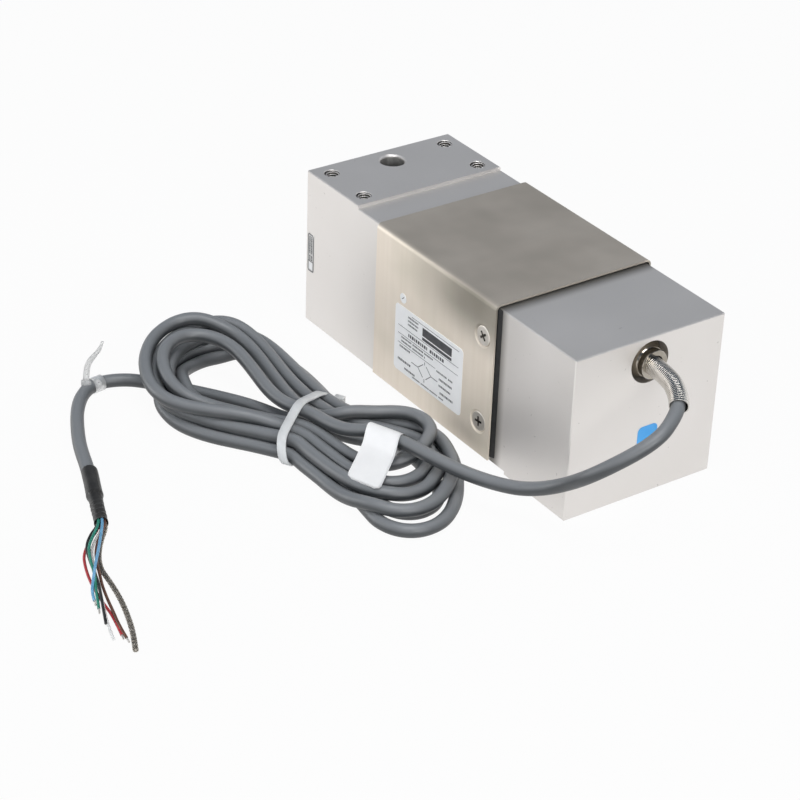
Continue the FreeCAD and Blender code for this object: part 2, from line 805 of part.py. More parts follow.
def tail_points():
    """From the left loop of the hank, along the floor and into the sleeve."""
    first, last = (Vector(*corner, TAIL_FLOOR) for corner in TAIL_SIDE)
    outward = (last - first).cross(Vector(0, 0, 1)).normalize()
    start = first + (last - first) * TAIL_SHARE
    overlap = size("sleeve_overlap")
    entry = SLEEVE.multVec(Vector(-overlap / 4, 0, 0))
    end = SLEEVE.multVec(Vector(overlap, 0, 0))
    return [start, start + outward * TAIL_RUN] + [Vector(*point) for point in TAIL_POINTS] + [entry, end]


# Cores and screen: places on a ring in the sleeve's mouth, then routes given from the mouth
BRAID_ANGLE = -30
BRAID_GAP = 58
CORE_STEP = (360 - 2 * BRAID_GAP) / 5
STRAIGHT_OUT = 5
CORE_ROUTES = {
    "core_brown": [
        (9, 0.9, 3.6), (17, -1.6, 2.6), (26, -2.8, 2.2), (34, -2.2, 1.9), (44, -1.8, 0.7),
        (55, -1.3, 0.7), (62, -0.6, 0.7), (69, 0.3, 0.7),
    ],
    "core_blue": [
        (9, -1.4, 5.2), (17, -4.2, 4.8), (25, -6.2, 4.2), (33, -7.8, 3), (40, -8.8, 1.9), (45.5, -9.4, 1.1),
    ],
    "core_green": [
        (9, -4.2, 4.4), (16, -6, 3.4), (24, -6, 2.5), (32, -5.9, 2.2), (41, -6.5, 2.1), (50, -7, 1.6),
    ],
    "core_black": [
        (9, -6, 3), (16, -7.4, 2), (24, -6.6, 1), (34, -5, 0.75), (44, -5.1, 2),
        (52, -5.5, 1.9), (60, -6.1, 0.75),
    ],
    "core_red": [
        (9, -4.6, 0.9), (16, -8.2, 0.7), (25, -9.3, 0.7), (34, -8.8, 0.7), (41, -7.4, 0.7),
        (48, -5, 0.7), (55, -3.2, 0.7), (62, -2.3, 0.7),
    ],
    "core_white": [
        (9, -1.2, 0.9), (17, -3.2, 0.7), (26, -4.2, 0.7), (34, -3.6, 0.7), (44, -3.5, 1.35),
        (50, -3.9, 2.15), (56, -4.5, 1.75), (62, -4.7, 0.9), (69, -4.4, 0.7),
    ],
}
BRAID_ROUTE = [
    (9, 1.6, 1.6), (17, 0.2, 1.1), (26, -1, 1.1), (34, -0.4, 1.1), (42, 0.7, 1.1), (50, 2, 1.1),
    (58, 3, 1.1), (67, 3.2, 1.1), (77, 2.4, 1.1),
]


def strand_points(angle, route):
    """Straight out of the sleeve at an angle on the ring, then along a route."""
    ring = size("core_ring / 2")
    across = ring * math.cos(math.radians(angle))
    height = SLEEVE_START.z + ring * math.sin(math.radians(angle))
    out = [sleeve_spot(0, across, height), sleeve_spot(STRAIGHT_OUT, across, height)]
    return out + [sleeve_spot(*point) for point in route]


def make_cores():
    for place, (name, route) in enumerate(CORE_ROUTES.items()):
        angle = BRAID_ANGLE + BRAID_GAP + place * CORE_STEP
        cord(name, strand_points(angle, route), size("core_d"))
    cord("shield_braid", strand_points(BRAID_ANGLE, BRAID_ROUTE), size("braid_d"))


# Paper flag: a loop round the lead and two plies that hang from it
FLAG_HANG = Vector(0.613, -0.76, -0.217)


def make_flag(before, after):
    along = (after - before).normalize()
    middle = (before + after) / 2
    width = size("flag_width")
    thick = size("flag_thick")
    bore = size("cable_d / 2 + flag_clearance")
    start = middle - along * (width / 2)
    loop = Part.makeCylinder(bore + thick, width, start, along)
    across = along.cross(FLAG_HANG).normalize()
    corner = start - across * (thick / 2)
    drop = Vector(FLAG_HANG).normalize() * size("flag_length")
    outline = [corner, corner + along * width, corner + along * width + drop, corner + drop]
    plies = Part.Face(Part.makePolygon(outline + outline[:1])).extrude(across * thick)
    room = Part.makeCylinder(bore, 3 * width, start - along * width, along)
    node(feature("flag_label", loop.fuse(plies).removeSplitter().cut(room)), "flag_label")


# Clear tie on the tail: a band, a small head beside it and the end of its strap standing up
def make_tail_tie(before, after):
    along = (after - before).normalize()
    middle = (before + after) / 2
    width = size("tail_tie_width")
    thick = size("tail_tie_thick")
    bore = size("cable_d / 2 + tail_tie_clearance")
    start = middle - along * (width / 2)
    band = Part.makeCylinder(bore + thick, width, start, along)
    band = band.cut(Part.makeCylinder(bore, width, start, along))
    up = Vector(0, 0, 1)
    beside = Placement(middle, Rotation(along.cross(up), along, up, "YXZ"))
    head_side = size("tail_tie_head")
    head = Part.makeBox(head_side, width, head_side, Vector(bore + thick / 2, -width / 2, -head_side / 2))
    strap_width = size("tail_tie_strap_width")
    strap_spot = Vector(bore + head_side / 2, -strap_width / 2, head_side / 2)
    strap = Part.makeBox(thick, strap_width, size("tail_tie_strap"), strap_spot)
    for piece in (head, strap):
        piece.Placement = beside.multiply(piece.Placement)
    node(feature("tail_tie", band.fuse([head, strap]).removeSplitter()), "tail_tie")


# Labels: thin plates with rounded corners
def make_label(name, role, face, x0, x1, y0, y1, corner):
    body = new_body(name)
    outline = new_sketch(body, name + "_outline", role, face)
    rectangle(outline, x0, x1, y0, y1)
    pad(body, outline, "label_thick")
    normal = {"XZ_Plane": Vector(0, 1, 0), "YZ_Plane": Vector(1, 0, 0)}[role]
    dress_edges(body, "Fillet", lambda edge: runs_along(edge, normal), Radius=corner)
    node(body, name)


def make_labels():
    rating_start = f"{COVER_LIVE} + rating_inset"
    make_label("rating_label", "XZ_Plane", COVER_OUTER, rating_start, f"{rating_start} + rating_length",
               "rating_base", "rating_base + rating_height", "label_corner")
    seal_start = f"{LIVE_FACE} + seal_label_inset"
    make_label("seal_sticker", "XZ_Plane", "block_width / 2", seal_start, f"{seal_start} + seal_label_length",
               "seal_label_base", "seal_label_base + seal_label_height", "label_corner / 2")
    end_start = "end_label_offset - end_label_side / 2"
    make_label("end_sticker", "YZ_Plane", FIXED_FACE, end_start, f"{end_start} + end_label_side",
               "end_label_base", "end_label_base + end_label_side", "label_corner / 2")
    dot = new_body("dot_sticker")
    ring = new_sketch(dot, "dot_ring", "XZ_Plane", COVER_OUTER)
    circle(ring, f"{COVER_LIVE} + dot_inset", "dot_base", "dot_d")
    pad(dot, ring, "label_thick")
    node(dot, "dot_sticker")


def write_nodes():
    """Writes each sub-part, once every object of the document is sound."""
    doc.recompute()
    for thing in doc.Objects:
        if {"Invalid", "Error"} & set(thing.State):
            raise RuntimeError(f"{thing.Name}: {thing.State}")
    for thing in nodes:
        if thing.Shape.isNull() or not thing.Shape.isValid():
            raise RuntimeError(thing.Label + " has no sound shape")
    os.makedirs("parts", exist_ok=True)
    for thing in nodes:
        thing.Shape.exportStep(f"parts/{thing.Label}.step")


def main():
    make_spring_element()
    make_sheet_cover()
    make_cover_screws()
    make_gauges()
    make_board()
    make_inner_wiring()
    make_gland()
    lead = lead_points()
    tail = tail_points()
    make_guard(cord_path(lead)[0])
    cord("cable_lead", lead, size("cable_d"))
    make_hank()
    cord("cable_tail", tail, size("cable_d"))
    make_cable_tie()
    make_flag(*lead[-3:-1])
    make_tail_tie(*tail[2:4])
    make_sleeve()
    make_cores()
    make_labels()
    write_nodes()


main()
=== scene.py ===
import json
import math

import bmesh
import bpy
import numpy as np
from mathutils import Matrix, Vector


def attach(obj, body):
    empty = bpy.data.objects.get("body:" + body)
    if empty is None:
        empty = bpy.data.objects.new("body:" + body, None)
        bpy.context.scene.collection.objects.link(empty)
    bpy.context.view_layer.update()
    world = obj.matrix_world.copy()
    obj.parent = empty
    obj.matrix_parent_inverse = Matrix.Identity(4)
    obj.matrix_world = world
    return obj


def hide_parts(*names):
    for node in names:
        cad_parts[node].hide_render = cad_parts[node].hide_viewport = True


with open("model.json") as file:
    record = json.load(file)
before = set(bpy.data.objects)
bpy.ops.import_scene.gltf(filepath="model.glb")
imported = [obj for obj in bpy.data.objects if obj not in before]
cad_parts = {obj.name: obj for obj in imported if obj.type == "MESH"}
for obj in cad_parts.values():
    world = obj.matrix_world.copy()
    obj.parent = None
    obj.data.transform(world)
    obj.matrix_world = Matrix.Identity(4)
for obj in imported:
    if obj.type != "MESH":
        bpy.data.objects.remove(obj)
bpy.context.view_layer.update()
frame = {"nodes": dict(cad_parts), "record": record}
MM = 0.001


# Camera, fitted to the photograph's perspective
EYE = Vector((0.7312, -0.5728, 0.5486))
LOOK = Vector((-0.69881941, 0.49831746, -0.51315802)).normalized()
ROLL = math.radians(2.2354)
FIELD = math.radians(18.188)


def new_object(name, data):
    made = bpy.data.objects.new(name, data)
    bpy.context.collection.objects.link(made)
    return made


def make_camera():
    level = LOOK.cross(Vector((0, 0, 1))).normalized()
    upright = level.cross(LOOK)
    right = level * math.cos(ROLL) + upright * math.sin(ROLL)
    up = upright * math.cos(ROLL) - level * math.sin(ROLL)
    data = bpy.data.cameras.new("camera")
    data.angle = FIELD
    data.clip_start = 0.01
    camera = new_object("camera", data)
    turn = Matrix((right, up, -LOOK)).transposed().to_4x4()
    camera.matrix_world = Matrix.Translation(EYE) @ turn
    bpy.context.scene.camera = camera


# Node helpers
class Nodes:
    """Short way to add nodes and links to one node tree."""

    def __init__(self, tree):
        self.tree = tree
        tree.nodes.clear()

    def add(self, kind, settings=None, **inputs):
        made = self.tree.nodes.new(kind)
        for name, value in (settings or {}).items():
            setattr(made, name, value)
        for name, value in inputs.items():
            self.put(made, name, value)
        return made

    def put(self, made, name, value):
        socket = made.inputs[int(name) if name.isdigit() else name]
        if isinstance(value, bpy.types.NodeSocket):
            self.tree.links.new(value, socket)
        else:
            socket.default_value = value


def new_material(name):
    material = bpy.data.materials.new(name)
    material.use_nodes = True
    nodes = Nodes(material.node_tree)
    shader = nodes.add("ShaderNodeBsdfPrincipled")
    nodes.add("ShaderNodeOutputMaterial", Surface=shader.outputs["BSDF"])
    return material, nodes, shader


def colour_ramp(nodes, value, stops):
    ramp = nodes.add("ShaderNodeValToRGB", Fac=value)
    elements = ramp.color_ramp.elements
    while len(elements) < len(stops):
        elements.new(0.5)
    for element, (position, colour) in zip(elements, stops):
        element.position = position
        element.color = (*colour, 1)
    return ramp.outputs["Color"]


def noise(nodes, scale, detail=2.0, stretch=(1, 1, 1)):
    spot = nodes.add("ShaderNodeTexCoord")
    placed = nodes.add("ShaderNodeMapping", Vector=spot.outputs["Object"], Scale=stretch)
    made = nodes.add("ShaderNodeTexNoise", Vector=placed.outputs["Vector"], Scale=scale, Detail=detail)
    return made.outputs["Fac"]


def spread(nodes, value, low, high, first=0.3, last=0.7, kind="LINEAR"):
    limits = {"From Min": first, "From Max": last, "To Min": low, "To Max": high}
    made = nodes.add("ShaderNodeMapRange", {"interpolation_type": kind}, Value=value, **limits)
    return made.outputs["Result"]


def band(nodes, value, first, last):
    """Smooth rise from 0 to 1 between two values."""
    return spread(nodes, value, 0, 1, first, last, "SMOOTHSTEP")


def maths(nodes, operation, first, second):
    made = nodes.add("ShaderNodeMath", {"operation": operation}, **{"0": first, "1": second})
    return made.outputs["Value"]


def times(nodes, first, second):
    return maths(nodes, "MULTIPLY", first, second)


def place_on(nodes):
    """Outputs that give the place on an object along X, Y and Z."""
    spot = nodes.add("ShaderNodeTexCoord")
    return nodes.add("ShaderNodeSeparateXYZ", Vector=spot.outputs["Object"]).outputs


def blend(nodes, share, first, second):
    made = nodes.add("ShaderNodeMix", {"data_type": "RGBA"}, **{"0": share, "6": first, "7": second})
    return made.outputs[2]


def add_bump(nodes, shader, height, strength, distance):
    bump = nodes.add("ShaderNodeBump", Height=height, Strength=strength, Distance=distance)
    nodes.put(shader, "Normal", bump.outputs["Normal"])


# Fine raised grain of a surface: scale of its noise and its height in metres
POLISHED = (900, 0.000001)
MOULDED = (2500, 0.00001)
CAST = (1500, 0.00001)
JACKET = (1600, 0.00001)
SHRUNK = (1400, 0.00002)
FIBRES = (1600, 0.00002)
FILM = (1500, 0.000005)
METAL = {"Metallic": 1.0}
NYLON = {"Subsurface Weight": 0.2, "Subsurface Scale": 0.002, "Subsurface Radius": (1, 1, 1)}
CLEAR = {"Transmission Weight": 0.55, "IOR": 1.5}
SHEEN = {"Specular IOR Level": 0.7}
# Painted light: the lighter colour that the jacket's upward faces blend towards
LIT_TOP_COLOUR = (0.21, 0.22, 0.23, 1)
CORE_SHINE = (0.32, 0.42)
# Two colours with blotches between, range of roughness, scale of the blotches, grain, further inputs, and
# the lighter colour of upward faces, painted light
SURFACES = {
    "screws": ((0.82, 0.77, 0.7), (0.88, 0.83, 0.77), (0.4, 0.48), 260, POLISHED, METAL),
    # Near-black painted shade in the screws' cross recesses and in the tapped holes
    "recess": ((0.05, 0.045, 0.04), (0.09, 0.08, 0.07), (0.45, 0.6), 300, POLISHED, METAL),
    "gauge": ((0.62, 0.42, 0.16), (0.72, 0.5, 0.2), (0.35, 0.5), 200),
    "board": ((0.03, 0.2, 0.1), (0.05, 0.25, 0.12), (0.3, 0.4), 200),
    "resistor": ((0.02, 0.02, 0.02), (0.04, 0.04, 0.04), (0.35, 0.5), 400),
    "wire": ((0.62, 0.34, 0.17), (0.75, 0.45, 0.24), (0.2, 0.35), 300, MOULDED, METAL),
    "inner_wire": ((0.55, 0.55, 0.53), (0.63, 0.63, 0.6), (0.4, 0.5), 200),
    "nickel": ((0.34, 0.31, 0.265), (0.42, 0.385, 0.335), (0.1, 0.16), 200, POLISHED, METAL),
    # Near-black strip beside the sheet's fixed end: painted shade
    "seal": ((0.006, 0.006, 0.006), (0.012, 0.012, 0.012), (0.6, 0.75), 300),
    "bore": ((0.5, 0.49, 0.47), (0.58, 0.57, 0.55), (0.45, 0.55), 300, POLISHED, METAL),
    "guard": ((0.58, 0.555, 0.515), (0.66, 0.635, 0.595), (0.1, 0.15), 300, POLISHED, METAL),
    "jacket": ((0.038, 0.042, 0.045), (0.05, 0.054, 0.058), (0.38, 0.48), 90, JACKET, SHEEN, LIT_TOP_COLOUR),
    "tie": ((0.6, 0.61, 0.61), (0.68, 0.69, 0.69), (0.4, 0.52), 200, CAST, NYLON),
    "paper": ((0.84, 0.835, 0.83), (0.88, 0.875, 0.87), (0.6, 0.75), 120, FIBRES),
    "clear_tie": ((0.8, 0.8, 0.79), (0.88, 0.88, 0.87), (0.25, 0.4), 200, CAST, CLEAR),
    "sleeve": ((0.016, 0.015, 0.014), (0.03, 0.028, 0.026), (0.36, 0.52), 160, SHRUNK),
    "core_brown": ((0.1, 0.04, 0.025), (0.14, 0.06, 0.035), CORE_SHINE, 300),
    "core_blue": ((0.13, 0.34, 0.54), (0.18, 0.41, 0.62), CORE_SHINE, 300),
    "core_green": ((0.025, 0.2, 0.14), (0.04, 0.27, 0.19), CORE_SHINE, 300),
    "core_black": ((0.014, 0.014, 0.014), (0.024, 0.024, 0.024), CORE_SHINE, 300),
    "core_red": ((0.4, 0.03, 0.04), (0.5, 0.05, 0.055), CORE_SHINE, 300),
    "core_white": ((0.74, 0.74, 0.72), (0.82, 0.82, 0.8), CORE_SHINE, 300),
    "braid": ((0.3, 0.27, 0.23), (0.5, 0.47, 0.42), (0.3, 0.45), 500, MOULDED, METAL),
    "label": ((0.9, 0.9, 0.9), (0.94, 0.94, 0.94), (0.32, 0.42), 150, FILM),
    "end_label": ((0.06, 0.38, 0.83), (0.08, 0.42, 0.88), (0.3, 0.4), 150, FILM),
    "tinned": ((0.6, 0.58, 0.55), (0.72, 0.7, 0.67), (0.25, 0.4), 600, MOULDED, METAL),
    "print": ((0.05, 0.05, 0.055), (0.08, 0.08, 0.085), (0.4, 0.5), 300),
    "film": ((0.6, 0.59, 0.57), (0.66, 0.65, 0.63), (0.35, 0.45), 150, FILM),
}


def surface(name, low, high, rough, blotch, grain=MOULDED, fixed=None, painted_light=None):
    """Material with soft blotches, a fine raised grain and, if given, painted light: a lighter colour on
    whatever faces up.
    """
    material, nodes, shader = new_material(name)
    colour = colour_ramp(nodes, noise(nodes, blotch, 4), [(0.35, low), (0.65, high)])
    # Painted light: faces turned up blend towards a lighter colour
    if painted_light:
        geometry = nodes.add("ShaderNodeNewGeometry")
        facing = nodes.add("ShaderNodeSeparateXYZ", Vector=geometry.outputs["Normal"])
        colour = blend(nodes, spread(nodes, facing.outputs["Z"], 0, 1, 0.1, 0.98), colour, painted_light)
    nodes.put(shader, "Base Color", colour)
    scale, lift = grain
    fine = noise(nodes, scale, 3)
    nodes.put(shader, "Roughness", spread(nodes, fine, *rough))
    add_bump(nodes, shader, fine, 0.6, lift)
    for socket, value in (fixed or {}).items():
        nodes.put(shader, socket, value)
    return material


# Painted shade on the block beside the sheet's fixed end, along X: where it starts, is full, fades and ends
EDGE_SHADE = (0.044, 0.046, 0.0465, 0.0535)
# The cover's top face, up Z, which is painted darker as shade, and the painted dark reflection on its
# sides, along X and up Z
COVER_TOP = (0.0735, 0.0747)
REFLECTION_ALONG = (-0.022, 0.032)
REFLECTION_UP = (0.046, 0.066)


def block_metal():
    """Plated block: even satin grain, soft clouds, dark specks and painted shade along the sheet's fixed
    end.
    """
    material, nodes, shader = new_material("block")
    clouds = noise(nodes, 24, 3)
    specks = noise(nodes, 520, 1)
    base = colour_ramp(nodes, clouds, [(0.3, (0.765, 0.735, 0.705)), (0.7, (0.795, 0.765, 0.74))])
    marked_colour = blend(nodes, spread(nodes, specks, 0, 0.4, 0.77, 0.82), base, (0.36, 0.34, 0.32, 1))
    start, full, fade, end = EDGE_SHADE
    along = place_on(nodes)["X"]
    # Painted shade: darkening beside the sheet's fixed end, for the shade of the gap there
    edge = times(nodes, band(nodes, along, start, full), band(nodes, along, end, fade))
    painted_edge_shade = times(nodes, edge, spread(nodes, clouds, 0.75, 0.9))
    nodes.put(shader, "Base Color", blend(nodes, painted_edge_shade, marked_colour, (0.1, 0.095, 0.085, 1)))
    nodes.put(shader, "Roughness", spread(nodes, clouds, 0.47, 0.53))
    add_bump(nodes, shader, noise(nodes, 1500, 2), 0.3, 0.000008)
    nodes.put(shader, "Metallic", 0.9)
    return material


def cover_metal():
    """Rolled stainless sheet: streaks round the fold, soft smears, a top painted darker as shade and a
    painted dark reflection on the sides below it.
    """
    material, nodes, shader = new_material("cover")
    streaks = noise(nodes, 420, 2, (1, 0.02, 0.02))
    smears = noise(nodes, 30, 2)
    base = colour_ramp(nodes, streaks, [(0.25, (0.845, 0.765, 0.665)), (0.75, (0.88, 0.805, 0.71))])
    tinted = blend(nodes, spread(nodes, smears, 0, 0.5, 0.5, 0.7), base, (0.7, 0.655, 0.555, 1))
    place = place_on(nodes)
    # Painted shade: the top face is made darker than the sides
    on_top = band(nodes, place["Z"], *COVER_TOP)
    painted_top_shade = times(nodes, on_top, spread(nodes, smears, 0.7, 1.0, 0.35, 0.65))
    marked_colour = blend(nodes, painted_top_shade, tinted, (0.475, 0.432, 0.378, 1))
    # Painted reflection: the sides darken towards their upper right, below the top
    corner = times(nodes, band(nodes, place["X"], *REFLECTION_ALONG), band(nodes, place["Z"], *REFLECTION_UP))
    below = maths(nodes, "SUBTRACT", corner, on_top)
    painted_reflection = times(nodes, spread(nodes, below, 0, 1, 0, 1), spread(nodes, smears, 0.8, 1.0))
    nodes.put(shader, "Base Color", blend(nodes, painted_reflection, marked_colour, (0.3, 0.278, 0.234, 1)))
    nodes.put(shader, "Roughness", spread(nodes, smears, 0.58, 0.68))
    add_bump(nodes, shader, streaks, 0.2, 0.000006)
    nodes.put(shader, "Metallic", 0.8)
    return material


def make_materials():
    made = {"block": block_metal(), "cover": cover_metal()}
    for name, row in SURFACES.items():
        made[name] = surface(name, *row)
    return made


def dress_solids(materials):
    """Give each solid the material of its slot in the record, and the seal label its film."""
    for row in frame["record"]["subparts"]:
        slot = "film" if row["node"] == "seal_sticker" else row["material_slot"]
        own = frame["nodes"][row["node"]].data.materials
        own.clear()
        own.append(materials[slot])


# World: a dim, cool room with a white wall all round above the table
def make_world():
    world = bpy.data.worlds.new("studio")
    bpy.context.scene.world = world
    world.use_nodes = True
    nodes = Nodes(world.node_tree)
    spot = nodes.add("ShaderNodeTexCoord")
    split = nodes.add("ShaderNodeSeparateXYZ", Vector=spot.outputs["Generated"])
    room = colour_ramp(nodes, split.outputs["Z"], [
        (0.02, (1.0, 1.0, 1.0)), (0.13, (0.36, 0.39, 0.43)),
        (0.35, (0.14, 0.165, 0.205)), (0.9, (0.12, 0.145, 0.18)),
    ])
    light = nodes.add("ShaderNodeBackground", Color=room)
    nodes.add("ShaderNodeOutputWorld", Surface=light.outputs["Background"])


# White table: as much of it glows as whatever sees it needs, and the rest takes the object's shadow
GLOW = 0.955
FLOOR_HALF = 4000
FLOOR_LEVEL = -0.2


def make_floor():
    material = bpy.data.materials.new("floor")
    material.use_nodes = True
    nodes = Nodes(material.node_tree)
    paper = nodes.add("ShaderNodeBsdfDiffuse", Color=(0.6, 0.6, 0.6, 1))
    white = nodes.add("ShaderNodeEmission")
    ray = nodes.add("ShaderNodeLightPath").outputs
    seen = maths(nodes, "MAXIMUM", ray["Is Camera Ray"], ray["Is Glossy Ray"])
    seen = maths(nodes, "MAXIMUM", seen, ray["Is Transmission Ray"])
    sides = {"1": paper.outputs["BSDF"], "2": white.outputs["Emission"]}
    mix = nodes.add("ShaderNodeMixShader", Fac=times(nodes, seen, GLOW), **sides)
    nodes.add("ShaderNodeOutputMaterial", Surface=mix.outputs["Shader"])
    signs = ((-1, -1), (1, -1), (1, 1), (-1, 1))
    corners = [(x * FLOOR_HALF, y * FLOOR_HALF, FLOOR_LEVEL) for x, y in signs]
    floor = new_mesh("floor", [(corners, [(0, 1, 2, 3)])], material)


def make_lamp(name, spot, aim, size, watts):
    data = bpy.data.lights.new(name, "AREA")
    data.shape = "DISK"
    data.size = size
    data.energy = watts
    lamp = new_object(name, data)
    lamp.location = spot
    lamp.rotation_euler = (Vector(aim) - Vector(spot)).to_track_quat("-Z", "Y").to_euler()


# Cords
def metres(point):
    return tuple(value * MM for value in point)


def new_curve(name, points, diameter, steps=8):
    """Open NURBS spline with the given points, in millimetres, as its control points."""
    data = bpy.data.curves.new(name, "CURVE")
    data.dimensions = "3D"
    data.resolution_u = steps
    spline = data.splines.new("NURBS")
    spline.points.add(len(points) - 1)
    for place, point in zip(spline.points, points):
        place.co = (*metres(point), 1)
    spline.order_u = 3
    spline.use_endpoint_u = True
    data.bevel_depth = diameter * MM / 2
    data.bevel_resolution = 5
    data.use_fill_caps = True
    return new_object(name, data)


def line_of(points, steps=8):
    """Points along the spline of a route, in millimetres."""
    route = new_curve("route", points, 0, steps)
    mesh = bpy.data.meshes.new_from_object(route)
    line = np.array([vertex.co[:] for vertex in mesh.vertices]) / MM
    bpy.data.meshes.remove(mesh)
    data = route.data
    bpy.data.objects.remove(route)
    bpy.data.curves.remove(data)
    return line


# Mesh helpers: all points are in millimetres
def new_mesh(name, parts, material, smooth=True):
    """Piece made of one or several meshes, each given as its points and faces."""
    points = []
    faces = []
    for some, which in parts:
        faces += [tuple(index + len(points) for index in face) for face in which]
        points += [metres(point) for point in some]
    mesh = bpy.data.meshes.new(name)
    mesh.from_pydata(points, [], faces)
    mesh.validate()
    mesh.polygons.foreach_set("use_smooth", [smooth] * len(mesh.polygons))
    mesh.materials.append(material)
    return new_object(name, mesh)


def ring_faces(rings, sides, closed=False):
    """Faces of a loft through rings of points, closed into a loop or capped at its ends."""
    faces = []
    for row in range(rings if closed else rings - 1):
        here = row * sides
        there = (row + 1) % rings * sides
        for side in range(sides):
            after = (side + 1) % sides
            faces.append((here + side, here + after, there + after, there + side))
    if not closed:
        faces.append(tuple(range(sides - 1, -1, -1)))
        faces.append(tuple(range((rings - 1) * sides, rings * sides)))
    return faces


# Keeps a division away from zero
SMALL = 1e-6


def round_angles(count):
    return np.linspace(0, 2 * math.pi, count, endpoint=False)


def unit(way):
    return np.array(way) / np.linalg.norm(way)


def rise(value, first, last):
    """Share of the way from one value to another, between 0 and 1."""
    return min(max((value - first) / (last - first), 0), 1)


def lengths(rows):
    return np.linalg.norm(rows, axis=1)


def distances(line, spot):
    return lengths(line - np.array(spot))


def length_of(line):
    return float(lengths(np.diff(line, axis=0)).sum())


def resample(line, start, stop, step):
    """Points at even steps along a line, between two lengths."""
    run = np.concatenate([[0], np.cumsum(lengths(np.diff(line, axis=0)))])
    spots = np.linspace(start, stop, max(round((stop - start) / step), 2) + 1)
    return np.stack([np.interp(spots, run, column) for column in line.T], axis=1)


def frames(line):
    """Unit directions along a line and two across it, carried on without twist."""
    ahead = np.gradient(line, axis=0)
    ahead /= lengths(ahead)[:, None]
    side = np.cross(ahead[0], (0, 0, 1))
    if np.linalg.norm(side) < 0.1:
        side = np.cross(ahead[0], (0, 1, 0))
    sides = []
    for direction in ahead:
        side = unit(side - direction * side.dot(direction))
        sides.append(side)
    sides = np.array(sides)
    return ahead, sides, np.cross(sides, ahead)


def sweep(places, wide_ways, high_ways, section):
    """Points of a section carried along places that each have a way across and a way up."""
    rows = [places + wide_ways * wide + high_ways * high for wide, high in section]
    return np.stack(rows, axis=1).reshape(-1, 3)


def tube_mesh(line, radius, sides):
    """Points and faces of a round tube along a line."""
    _, across, up = frames(line)
    section = [(radius * math.cos(turn), radius * math.sin(turn)) for turn in round_angles(sides)]
    return sweep(line, across, up, section), ring_faces(len(line), sides)


def coil_round(line, radius, pitch, per_turn, turn=0, weave=None, flat=(1, 1)):
    """Helix round a line."""
    run = length_of(line)
    fine = resample(line, 0, run, abs(pitch) / per_turn)
    _, across, up = frames(fine)
    angle = turn + 2 * math.pi / pitch * np.linspace(0, run, len(fine))
    reach = radius + (weave(angle) if weave else 0)
    aside = (reach * np.cos(angle) * flat[0])[:, None] * across
    above = (reach * np.sin(angle) * flat[1])[:, None] * up
    return fine + aside + above


# Cable: its lead from the gland to the hank, and its tail from the hank to the sleeve
CABLE = 5.8
LEAD = [
    (79.5, 0, 62.2), (107, 0, 62.2), (120.35, -5.55, 60.2), (126.7, -11.9, 57.85), (132.4, -25.5, 52.9),
    (122.8, -45.4, 40.2), (102.3, -45.3, 23.2), (89.5, -52.1, 16.6), (78.1, -58.6, 15.2), (65.5, -65, 15.5),
    (52, -70.5, 17), (37, -74.5, 17.8), (20.9, -79.99, 16.9), (9.6, -87.8, 14.2),
]
TAIL = [
    (-82.6, -129.2, 3), (-87.4, -135.4, 3), (-90.1, -142.8, 3), (-89.4, -150, 3), (-84, -157, 3),
    (-75.8, -163.2, 3), (-66, -168.6, 3), (-53, -174.7, 3), (-43, -178.4, 3.2), (-34.7, -181, 3.4),
    (-24.21, -184.8, 3.4),
]

# The hank is an oval coil with a tie round its middle. Each left turn runs from the far side of the
# tie round to the near side, and each right turn goes on from there back to the far side.
WAIST = (-8, -89.7)
WAIST_TURN = math.radians(33)
# Places in the tie, across the waist and up
NEAR_PLACES = [(-4.6, 9.2), (-10.6, 9.3), (-16.6, 9.3), (-19.6, 4.2), (-13.7, 4.2), (-7.8, 4.2)]
FAR_PLACES = [(3.8, 9.2), (10.2, 9.2), (13.2, 4.2), (17.4, 8.8), (22, 4.2), (6.9, 4.2)]
LEAD_PLACE = (-0.4, 13.2)
LEFT_TURNS = [
    [(-24.5, -97, 13.4), (-45.5, -94.5, 16.3), (-66.5, -92.5, 19.1), (-79, -98, 21), (-87, -104, 21.5),
     (-85.5, -114.5, 21.5), (-71, -126.5, 20.5), (-53, -131.5, 17), (-41.5, -125.5, 13),
     (-29.5, -112.5, 10), (-16.5, -102.5, 9.2)],
    [(-23.5, -88.5, 9.7), (-46.5, -85.5, 11.8), (-75.5, -80.5, 14.5), (-90, -88, 17.5), (-97, -98.5, 18),
     (-96.5, -112, 18), (-81.5, -127.5, 17.5), (-63, -137, 17), (-48.5, -139, 16), (-38.5, -133, 14.5),
     (-27, -122, 12.6), (-14, -108.5, 10.1)],
    [(-25, -80.5, 9.6), (-41, -80.5, 10.6), (-65, -77, 12), (-85.5, -78, 14), (-92, -92.5, 15.5),
     (-91, -107.5, 16), (-79.5, -122.5, 14.5), (-64, -132.5, 12.5), (-51.5, -135, 10), (-40, -130.5, 8.8),
     (-25, -120.5, 8.7), (-11.5, -109.5, 9.1)],
    [(-27, -77.5, 3.5), (-47.5, -74, 3.5), (-71, -72.5, 4.5), (-88, -78.5, 6), (-91, -95, 7.5),
     (-85, -110, 8), (-72, -123, 8.5), (-61, -131.5, 8), (-53, -134, 6), (-42.5, -133, 4.2),
     (-27.5, -126, 3.4), (-14, -114, 3.4)],
    [(-28, -73.5, 8.9), (-43.5, -73.5, 9.5), (-69, -72, 10.5), (-87.5, -78.5, 11.5), (-91, -94, 12),
     (-87, -108.5, 12), (-75.5, -122, 12), (-61, -129.5, 10), (-51.5, -129.5, 6), (-38.5, -123, 3.5),
     (-26.5, -113.5, 3), (-13.5, -104, 3.5)],
    [(-30, -69, 3.2), (-49.5, -67, 3), (-70.5, -68, 3), (-87.5, -75, 3), (-88.5, -91, 3), (-82.5, -107, 4),
     (-71.5, -118.5, 8), (-57.5, -120.5, 6), (-42, -114.5, 3), (-28, -107, 3), (-14.5, -99.5, 3.3)],
]
